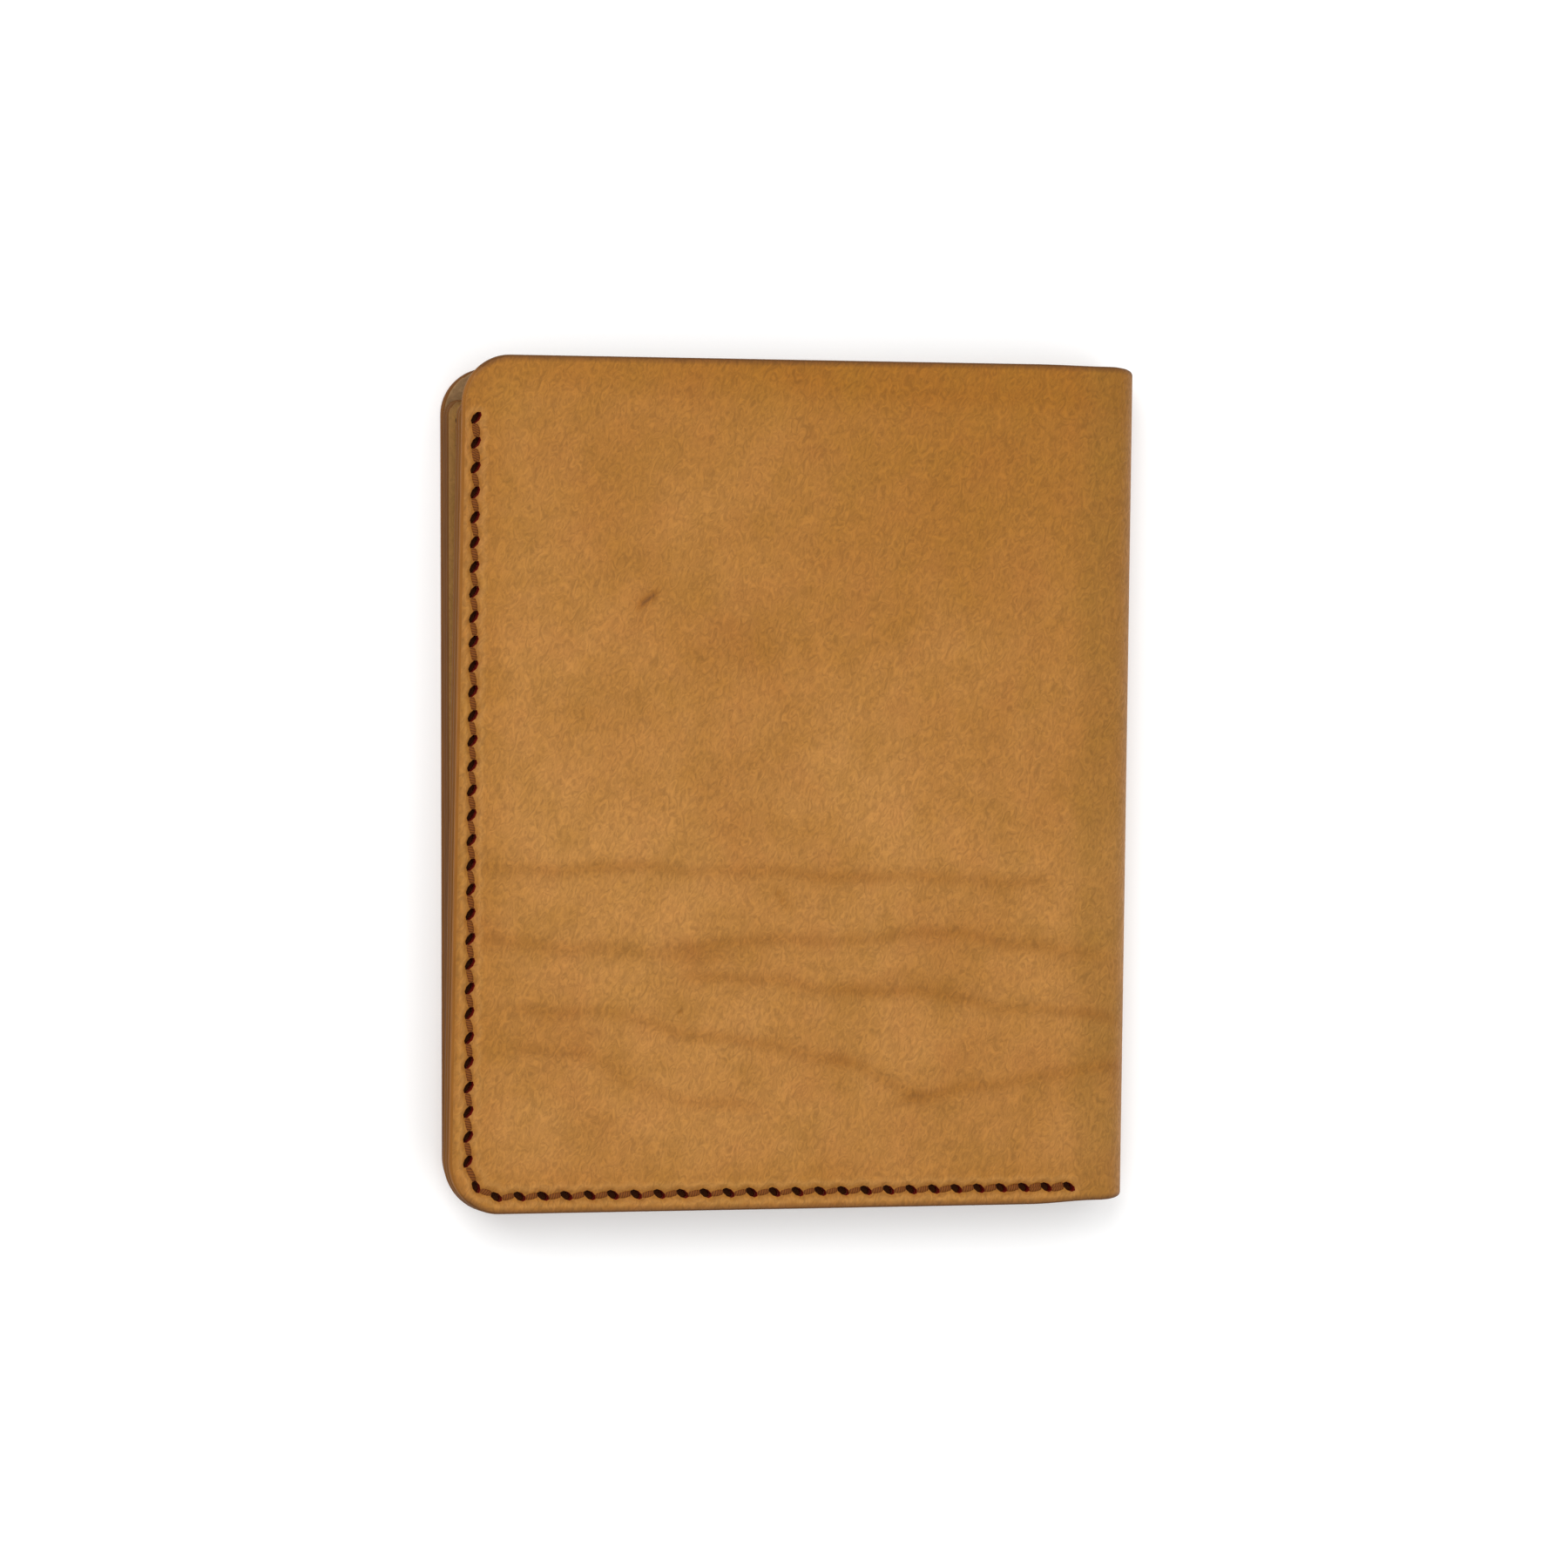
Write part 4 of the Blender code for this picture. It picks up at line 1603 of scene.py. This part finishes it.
@dataclass
class Strand(Stamp):
    """The length of thread between two slits: it comes up, lies pressed in its channel, and dips.

    Attributes:
        width: Width of the pressed thread.
        height: Its height.
        dip: How deep its ends go down.
        pitch: The usual length of a stitch, which gives the ply its scale.
    """

    width: float = 0.86 * MM
    height: float = 0.42 * MM
    dip: float = 0.42 * MM
    pitch: float = 3.0 * MM

    def sizes(self) -> dict[str, float]:
        """The thread's width and height, and how deep its ends dip."""
        return {"Width": self.width, "Height": self.height, "Dip": self.dip}

    def unit(self, tree: bpy.types.NodeTree, size: dict[str, bpy.types.NodeSocket]) -> bpy.types.NodeSocket:
        """Adds the nodes of one strand, a metre long before it is stretched to its slits.

        Args:
            tree: The tree.
            size: The tree's inputs by name.

        Returns:
            The socket that gives the strand.
        """
        down = add_node(tree, "ShaderNodeMath", {"operation": "MULTIPLY"}, {0: size["Dip"], 1: -1.0})
        start = add_node(tree, "ShaderNodeCombineXYZ", inputs={0: -0.5, 2: down.outputs[0]}).outputs[0]
        rise = add_node(tree, "ShaderNodeCombineXYZ", inputs={0: 0.0, 2: size["Dip"]}).outputs[0]
        end = add_node(tree, "ShaderNodeCombineXYZ", inputs={0: 0.5, 2: down.outputs[0]}).outputs[0]
        arch = add_node(
            tree,
            "GeometryNodeCurveQuadraticBezier",
            inputs={"Resolution": 7, "Start": start, "Middle": rise, "End": end},
        )
        half = add_node(tree, "ShaderNodeMath", {"operation": "MULTIPLY"}, {0: size["Width"], 1: 0.5})
        ring = add_node(
            tree, "GeometryNodeCurvePrimitiveCircle", {"mode": "RADIUS"}, {"Resolution": 8, "Radius": 1.0}
        )
        flatness = add_node(
            tree, "ShaderNodeMath", {"operation": "DIVIDE"}, {0: size["Height"], 1: size["Width"]}
        )
        oval = add_node(tree, "ShaderNodeCombineXYZ", inputs={0: half.outputs[0], 1: half.outputs[0], 2: 1.0})
        sized = {"Geometry": ring.outputs["Curve"], "Scale": oval.outputs[0]}
        section = add_node(tree, "GeometryNodeTransform", inputs=sized)
        tube = add_node(
            tree,
            "GeometryNodeCurveToMesh",
            inputs={"Curve": arch.outputs[0], "Profile Curve": section.outputs[0], "Fill Caps": True},
        )
        squash = add_node(tree, "ShaderNodeCombineXYZ", inputs={0: 1.0, 1: 1.0, 2: flatness.outputs[0]})
        pressed = add_node(
            tree, "GeometryNodeTransform", inputs={"Geometry": tube.outputs[0], "Scale": squash.outputs[0]}
        )
        place = add_node(tree, "GeometryNodeInputPosition")
        true_size = add_node(
            tree,
            "ShaderNodeVectorMath",
            {"operation": "MULTIPLY"},
            {0: place.outputs[0], 1: (self.pitch, 1.0, 1.0)},
        )
        marked = add_node(
            tree,
            "GeometryNodeStoreNamedAttribute",
            {"data_type": "FLOAT_VECTOR", "domain": "POINT"},
            {"Geometry": pressed.outputs[0], "Name": "ply", "Value": true_size.outputs[0]},
        )
        smooth_faces = add_node(tree, "GeometryNodeSetShadeSmooth", inputs={"Geometry": marked.outputs[0]})
        return smooth_faces.outputs[0]


@dataclass
class Seam:
    """One sewn line of a half: its slits, and its stitches on both faces.

    Attributes:
        name: What the seam's thread is called.
        pattern: The half's pattern.
        slits: The slits in sewing order.
        outer_depth: Depth of the stitches on the outer side.
        inner_depth: Gives the depth of the stitches on the inner side at a distance and a height.
        clearance: How far before and after a slit's middle the thread comes up.
        sidestep: How far the thread leaves a slit off its middle, so that each stitch leans.
        backstitches: How many stitches are sewn twice at the start and at the end.
        lane: How far the two threads of a double stitch lie off its middle.
        blade_depth: Depth of the middle of the awl's blade.
        sunk: From the stitches on the outer side to where the crossed threads fill a slit.
        shallow: The same on the inner side.
        least: The least length of slit that they fill.
    """

    name: str
    pattern: Pattern
    slits: list[Slit]
    outer_depth: float
    inner_depth: Callable[[Array, Array], Array]
    clearance: float = 0.76 * MM
    sidestep: float = 0.26 * MM
    backstitches: tuple[int, int] = (0, 0)
    lane: float = 0.2 * MM
    blade_depth: float = 2.0 * MM
    sunk: float = 1.5 * MM
    shallow: float = 0.4 * MM
    least: float = 0.2 * MM

    @staticmethod
    def frame(along: Vector, outwards: Vector) -> Matrix:
        """Finds the turn of a piece that lies on the leather.

        Args:
            along: The way the piece runs.
            outwards: The way the leather's face looks.

        Returns:
            A turn whose x runs along the piece and whose z looks away from the leather.
        """
        x = along.normalized()
        y = outwards.cross(x).normalized()
        return Matrix((x, y, x.cross(y))).transposed()

    def spot(self, reach: float, y: float, depth: float) -> Vector:
        """A place on the closed holder."""
        flat = (np.array(value) for value in (reach, y, depth))
        return Vector(self.pattern.fold.place(self.pattern.side, *flat).tolist())

    def blades(self) -> list[tuple[Vector, Matrix, Vector]]:
        """Where the awl goes through.

        Returns:
            The middle, the turn and the stretch of each blade.
        """
        outwards = self.pattern.fold.outward(self.pattern.side)
        places = []
        for slit in self.slits:
            middle = self.spot(slit.reach, slit.y, self.blade_depth)
            along = Vector((-math.cos(slit.slant), math.sin(slit.slant), 0))
            places.append((middle, self.frame(along, outwards), Vector((1, 1, 1))))
        return places

    def rise(self, slit: Slit, sign: int, heading: Vector) -> tuple[float, float]:
        """Where the thread comes up beside a slit.

        Args:
            slit: The slit.
            sign: One for the stitch that leaves it, minus one for the stitch that reaches it.
            heading: The way the seam goes, as reach and height.

        Returns:
            The reach and the height.
        """
        along = Vector((math.cos(slit.slant), math.sin(slit.slant)))
        forward = along.dot(heading)
        across = (along - heading * forward) * math.copysign(self.sidestep, forward)
        place = Vector((slit.reach, slit.y)) + (heading * self.clearance + across) * sign
        return place.x, place.y

    def strands(self, inside: bool) -> list[tuple[Vector, Matrix, Vector]]:
        """Where the thread lies between its slits on one face.

        Args:
            inside: Whether it is the inner face.

        Returns:
            The middle, the turn and the stretch of each stitch.
        """
        outwards = self.pattern.fold.outward(self.pattern.side) * (-1 if inside else 1)
        count = len(self.slits) - 1
        first, last = self.backstitches
        places = []
        for i, (a, b) in enumerate(zip(self.slits, self.slits[1:])):
            twice = i < first or i >= count - last
            heading = Vector((b.reach - a.reach, b.y - a.y)).normalized()
            ends = []
            for slit, sign in ((a, 1), (b, -1)):
                reach, y = self.rise(slit, sign, heading)
                depth = self.inner_depth(np.array(reach), np.array(y)) if inside else self.outer_depth
                ends.append(self.spot(reach, y, float(depth)))
            along = ends[1] - ends[0]
            turn = self.frame(along, outwards)
            stretch = Vector((along.length * 1.02, 0.8 if twice else 1.0, 1))
            for lane in (-self.lane, self.lane) if twice else (0.0,):
                middle = (ends[0] + ends[1]) / 2 + outwards.cross(along).normalized() * lane
                places.append((middle, turn, stretch))
        return places

    def crossings(self) -> list[tuple[Vector, Matrix, Vector]]:
        """Where the two threads cross inside each slit and fill it.

        Returns:
            The middle, the turn and the stretch of each crossing.
        """
        places = []
        for slit, (_, turn, _) in zip(self.slits, self.blades()):
            start = self.outer_depth + self.sunk
            surface = float(self.inner_depth(np.array(slit.reach), np.array(slit.y)))
            end = max(surface - self.shallow, start + self.least)
            middle = self.spot(slit.reach, slit.y, (start + end) / 2)
            places.append((middle, turn, Vector((0.95, 0.97, end - start))))
        return places

    def build(self, thread: bpy.types.Material) -> bpy.types.Object:
        """Makes the seam's thread, on both faces and inside the slits.

        Args:
            thread: The thread's finish.

        Returns:
            The finished piece.
        """
        stitches = Strand(self.name, thread).build(self.strands(inside=False) + self.strands(inside=True))
        filling = SlitShape(f"{self.name}_filling", thread, reach=1.0).build(self.crossings())
        both = {"active_object": stitches, "selected_editable_objects": [stitches, filling]}
        with bpy.context.temp_override(**both):
            bpy.ops.object.join()
        return stitches


# ---------------------------------------------------------------- the holder


@dataclass
class Leaf:
    """One half of the holder: its part of the cover, its inner leather and its seams.

    Attributes:
        pattern: The half's pattern.
        body: The body that it moves with.
        wrinkles: Growth wrinkles of its cover.
        panel_depth: Depth of the panel's outer face.
        lower_depth: Depth of the lower slot's outer face.
        upper_depth: Depth of the upper slot's outer face.
        cover_thickness: Thickness of the cover.
        inner_thickness: Thickness of the inner leather.
        panel_start: From the fold line to the panel.
        panel_corner: Radius of the inner leather's corners at the head.
        upper_edge: Thickness of the upper slot where the seam pulls it up to the lower slot's arms.
        cover_gap: Air between cover and panel where they are sewn.
        sheet_gap: Air between two inner sheets where they are sewn.
        thread_sunk: Depth of the main seam's thread in its channel.
        thread_under: How far the other seams' thread stands off the panel's outer face.
        tack_sunk: Depth of the tack seam's thread in the lower slot.
        thread_pull: How far thread is pulled into the innermost sheet.
    """

    pattern: Pattern
    body: str
    wrinkles: tuple[Wrinkle, ...]
    panel_depth: float
    lower_depth: float
    upper_depth: float
    cover_thickness: float = 1.3 * MM
    inner_thickness: float = 0.6 * MM
    panel_start: float = 0.5 * MM
    panel_corner: float = 2.0 * MM
    upper_edge: float = 0.85 * MM
    cover_gap: float = 0.04 * MM
    sheet_gap: float = 0.03 * MM
    thread_sunk: float = 0.24 * MM
    thread_under: float = 0.12 * MM
    tack_sunk: float = 0.15 * MM
    thread_pull: float = 0.02 * MM

    @property
    def side(self) -> str:
        """The half's name."""
        return self.pattern.side.value

    def sheets(self) -> tuple[CoverHalf, InnerSheet, LowerSlot, InnerSheet]:
        """Lays out the leather of the half.

        Returns:
            The cover half, the panel, the lower slot and the upper slot.
        """
        pattern, thin = self.pattern, self.inner_thickness
        fold = pattern.fold
        cover = CoverHalf(
            f"cover_half_{self.side}",
            pattern,
            self.cover_thickness,
            -fold.quarter,
            pattern.head,
            pattern.head_corner,
            grain_inside=False,
            open_start=False,
            coarse=0.62 * MM,
            wrinkles=self.wrinkles,
        )
        panel = InnerSheet(
            f"panel_leather_{self.side}",
            pattern,
            thin,
            self.panel_start,
            pattern.panel_head,
            self.panel_corner,
            depth=self.panel_depth,
            pressed_depth=self.cover_thickness + self.cover_gap,
            sewn_head=False,
            keeps_top=True,
        )
        lower = LowerSlot(
            f"slot_lower_leather_{self.side}",
            pattern,
            thin,
            pattern.row(pattern.lower_at),
            pattern.panel_head,
            0.0,
            depth=self.lower_depth,
            pressed_depth=self.panel_depth + thin + self.sheet_gap,
            coarse=0.9 * MM,
        )
        upper = InnerSheet(
            f"slot_upper_leather_{self.side}",
            pattern,
            thin,
            pattern.row(pattern.upper_at),
            pattern.panel_head,
            self.panel_corner,
            depth=self.upper_depth,
            pressed_depth=self.panel_depth + thin + self.sheet_gap,
            edge_thickness=self.upper_edge,
            arms_end=pattern.row(pattern.arm_end_at),
            arm_depth=self.lower_depth + thin,
        )
        return cover, panel, lower, upper

    def inner_depth(self, reach: Array, y: Array) -> Array:
        """Depth of stitches on the innermost sheet.

        Args:
            reach: Distance from the fold line.
            y: Height.

        Returns:
            The depth at each place.
        """
        _, panel, lower, upper = self.sheets()
        depth = panel.top(reach, y)
        depth = np.where(reach > lower.start, np.maximum(depth, lower.top(reach, y)), depth)
        depth = np.where(reach > upper.start, upper.top(reach, y), depth)
        return depth - self.thread_pull

    def seams(self) -> list[Seam]:
        """Lays out the sewing of the half.

        Returns:
            The main seam, the head seam and the tack seam.
        """
        pattern = self.pattern
        under = self.panel_depth - self.thread_under
        tack_top = self.lower_depth + self.inner_thickness - self.tack_sunk
        return [
            Seam(
                f"seam_stitches_{self.side}",
                pattern,
                pattern.main_seam(),
                self.thread_sunk,
                self.inner_depth,
                backstitches=(2, 2),
            ),
            Seam(f"head_stitches_{self.side}", pattern, pattern.head_seam(), under, self.inner_depth),
            Seam(
                f"tack_stitches_{self.side}",
                pattern,
                pattern.tack_seam(),
                under,
                lambda reach, y: np.full_like(reach, tack_top),
            ),
        ]

    def build(self, finishes: Finishes) -> None:
        """Makes every piece of the half and fastens the lining and the thread to the half's body.

        Args:
            finishes: The holder's finishes.
        """
        cover, panel, lower, upper = self.sheets()
        main, head, tack = self.seams()
        # The awl's finish is the painted shade that the cut leaves on the slits' walls.
        awl = SlitShape(f"awl_{self.side}", finishes.slit_shade)
        through = awl.build(main.blades())
        edge = awl.build(main.blades() + head.blades())
        inner = awl.build(main.blades() + head.blades() + tack.blades())
        self.hang_cover(cover.build(finishes.cover, finishes, through))
        lining = ((panel, "panel", inner), (lower, "slot_lower", inner), (upper, "slot_upper", edge))
        for sheet, node, cutter in lining:
            piece = sheet.build(finishes.inner, finishes, cutter)
            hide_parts(f"{node}_{self.side}")
            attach(piece, self.body)
            LOG.info("%s: %d faces", piece.name, len(piece.data.polygons))
        for cutter in (through, inner, edge):
            bpy.data.objects.remove(cutter, do_unlink=True)
        for seam, node in ((main, "seam_thread"), (head, "head_thread"), (tack, "tack_thread")):
            thread = seam.build(finishes.thread)
            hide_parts(f"{node}_{self.side}")
            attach(thread, self.body)
            LOG.info("%s: %d stitches", thread.name, 2 * (len(seam.slits) - 1))

    def hang_cover(self, piece: bpy.types.Object) -> None:
        """Hides the model's cover and spine, which the cover half stands in for, and bakes its place into its
        mesh.

        Args:
            piece: The finished cover half.
        """
        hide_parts(f"cover_{self.side}", "cover_spine")
        if self.pattern.side is Side.BACK:
            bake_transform(piece)
        else:
            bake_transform(piece)
        LOG.info("%s: %d faces", piece.name, len(piece.data.polygons))


@dataclass
class CardHolder:
    """The whole holder, sized from the frame.

    Attributes:
        low: Lowest corner of the frame's box.
        high: Highest corner of the frame's box.
        back_trim: How much narrower the back is cut at the foot.
        front_trim: How much narrower the front is cut at the head.
        back_drop: How much lower the back's head is cut at the free edge.
    """

    low: Vector
    high: Vector
    back_trim: float = 1.5 * MM
    front_trim: float = 0.6 * MM
    back_drop: float = 1.7 * MM

    def leaves(self) -> list[Leaf]:
        """Sizes the two halves from the frame.

        Returns:
            The back leaf and the front leaf.
        """
        radius = (self.high.z - self.low.z) / 2
        fold = Fold(self.high.x - radius, radius)
        width = fold.line - self.low.x
        foot, head = self.low.y, self.high.y
        sheets = [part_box(f"{node}_back") for node in ("panel", "slot_lower", "slot_upper")]
        depths = [low.z - self.low.z for low, _ in sheets]
        inner_head = sheets[0][1].y
        trims = (width - self.back_trim, width, self.back_drop, inner_head)
        back = Pattern(Side.BACK, fold, foot, head, *trims)
        trims = (width, width - self.front_trim, 0.0, inner_head)
        front = Pattern(Side.FRONT, fold, foot, head, *trims)
        return [
            Leaf(back, "back_leaf", self.back_wrinkles(), *depths),
            Leaf(front, "front_leaf", self.front_wrinkles(), *depths),
        ]

    def front_wrinkles(self) -> tuple[Wrinkle, ...]:
        """Growth wrinkles that cross the lower part of the front, and a few small scars.

        Returns:
            The wrinkles, from the top down, and then the scars.
        """
        return (
            Wrinkle(((82, -9.8), (65, -10.3), (61, -9.9), (48, -10.5), (33, -11.1), (8, -12)), 1.9, 0.8),
            Wrinkle(((82, -18.2), (70, -19.6), (59, -20.5), (48, -21.1)), 2.3, 0.75),
            Wrinkle(((56, -19.4), (30, -18.8), (19, -18.1), (10, -19.8), (0, -21.4)), 1.9, 0.85),
            Wrinkle(((54, -23), (33, -25.2), (22, -25.8), (13, -27.3), (-2, -29)), 1.7, 0.9),
            Wrinkle(((34, -24.6), (26, -23.6), (18, -25.6)), 2.2, 0.6),
            Wrinkle(((77, -26.8), (62, -28.1), (56, -29.8), (47, -31.3), (32, -34.1)), 1.9, 0.75),
            Wrinkle(((36, -33.2), (32, -34.1), (27, -37.1), (23, -39.2)), 2.0, 0.9),
            Wrinkle(((27, -39.4), (17, -37), (7, -36.2), (-3, -34.6)), 1.7, 0.85),
            Wrinkle(((77, -31.6), (67, -32.6), (62, -35.9), (56, -38.1), (44, -39.6)), 1.8, 0.5),
            Wrinkle(((61.0, 21.7), (58.5, 23.5)), 1.2, 2.6, 0.9),
            Wrinkle(((43.0, -12.8), (41.4, -14.8)), 0.9, 1.2, 0.9),
            Wrinkle(((55.2, -27.1), (54.4, -28.7)), 0.8, 1.3, 0.6),
            Wrinkle(((54, 19), (48, 17.5), (43, 18)), 7.0, 0.45),
        )

    def back_wrinkles(self) -> tuple[Wrinkle, ...]:
        """Fainter growth wrinkles, which go on across the back.

        Returns:
            The wrinkles and one soft blotch.
        """
        return (
            Wrinkle(((80, -6), (58, -8.5), (35, -7.0), (12, -10.5)), 1.9, 0.5),
            Wrinkle(((74, -17), (50, -15.5), (28, -18.0), (-2, -20.5)), 1.9, 0.6),
            Wrinkle(((66, -29), (44, -26.5), (20, -30.0), (-2, -31.5)), 1.7, 0.6),
            Wrinkle(((78, -38), (52, -35.5), (26, -38.0)), 1.8, 0.4),
            Wrinkle(((70, 24), (52, 27), (40, 25.5)), 6.0, 0.4),
        )

    def build(self, finishes: Finishes) -> None:
        """Makes both halves with the holder's finishes."""
        for leaf in self.leaves():
            leaf.build(finishes)


# ---------------------------------------------------------------- studio


@dataclass
class Studio:
    """White paper, soft daylight and a camera that looks down on the front from the left.

    Attributes:
        distance: From the lens to the front, in metres.
        lens: Focal length in millimetres.
        aim: Where the lens is above the front, before the camera is turned.
        turn: How far the camera goes to the left, in degrees.
        tilt: How far the camera goes up, in degrees.
        roll: How far the holder leans in the picture, in degrees.
        origin: The middle of the front, which the camera turns about.
        daylight: Strength of the even light from all sides.
        paper_reach: From the middle of the paper to its sides, in metres.
        sensor: Width of the camera's sensor, in millimetres.
    """

    distance: float = 0.960
    lens: float = 180.2
    aim: tuple[float, float] = (-0.00169, 0.00018)
    turn: float = 19.0
    tilt: float = 2.3
    roll: float = -0.78
    origin: tuple[float, float, float] = (-0.00035, 0.0, 0.0086)
    daylight: float = 0.8
    paper_reach: float = 3.0
    sensor: float = 36.0

    def floor(self, paper: bpy.types.Material) -> None:
        """Lays a sheet of white paper under the holder.

        Args:
            paper: The paper's finish.
        """
        mesh = bpy.data.meshes.new("floor")
        sheet = bmesh.new()
        bmesh.ops.create_grid(sheet, x_segments=6, y_segments=6, size=self.paper_reach)
        sheet.to_mesh(mesh)
        sheet.free()
        mesh.materials.append(paper)
        floor = linked("floor", mesh)
        floor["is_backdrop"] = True

    def light(self, name: str, place: tuple[float, float, float], size: float, power: float) -> None:
        """Hangs a soft square light that looks at the holder.

        Args:
            name: The light's name.
            place: Where it hangs.
            size: Its side.
            power: Its power in watts.
        """
        lamp = bpy.data.lights.new(name, "AREA")
        lamp.size = size
        lamp.energy = power
        made = linked(name, lamp)
        made.location = place
        made.rotation_euler = (-Vector(place)).to_track_quat("-Z", "Y").to_euler()

    def camera(self) -> None:
        """Sets the camera up."""
        turns = (
            Matrix.Rotation(math.radians(self.roll), 3, "Z")
            @ Matrix.Rotation(math.radians(self.tilt), 3, "X")
            @ Matrix.Rotation(math.radians(self.turn), 3, "Y")
        )
        axes = turns.transposed()
        lens = bpy.data.cameras.new("camera")
        lens.lens = self.lens
        lens.sensor_width = self.sensor
        made = linked("camera", lens)
        place = Vector(self.origin) + axes @ Vector((*self.aim, self.distance))
        made.matrix_world = Matrix.Translation(place) @ axes.to_4x4()
        bpy.context.scene.camera = made

    def build(self, paper: bpy.types.Material) -> None:
        """Sets up paper, lights and camera.

        Args:
            paper: The paper's finish.
        """
        scene = bpy.context.scene
        world = bpy.data.worlds.new("daylight")
        world.use_nodes = True
        sky = world.node_tree.nodes["Background"]
        sky.inputs["Color"].default_value = linear("#ffffff")
        sky.inputs["Strength"].default_value = self.daylight
        scene.world = world
        scene.view_settings.view_transform = "Standard"
        self.floor(paper)
        self.light("window", (-0.6, 0.6, 0.9), size=0.9, power=8.7)
        self.light("bounce", (0.6, -0.5, 1.0), size=1.4, power=3.0)
        self.camera()


def main() -> None:
    """Builds the card holder and the studio."""
    logging.basicConfig(level=logging.INFO, format="%(name)s: %(message)s")
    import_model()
    low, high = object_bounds()
    finishes = Finishes.build()
    CardHolder(low, high).build(finishes)
    Studio().build(finishes.paper)
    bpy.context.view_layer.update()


if __name__ == "__main__":
    main()
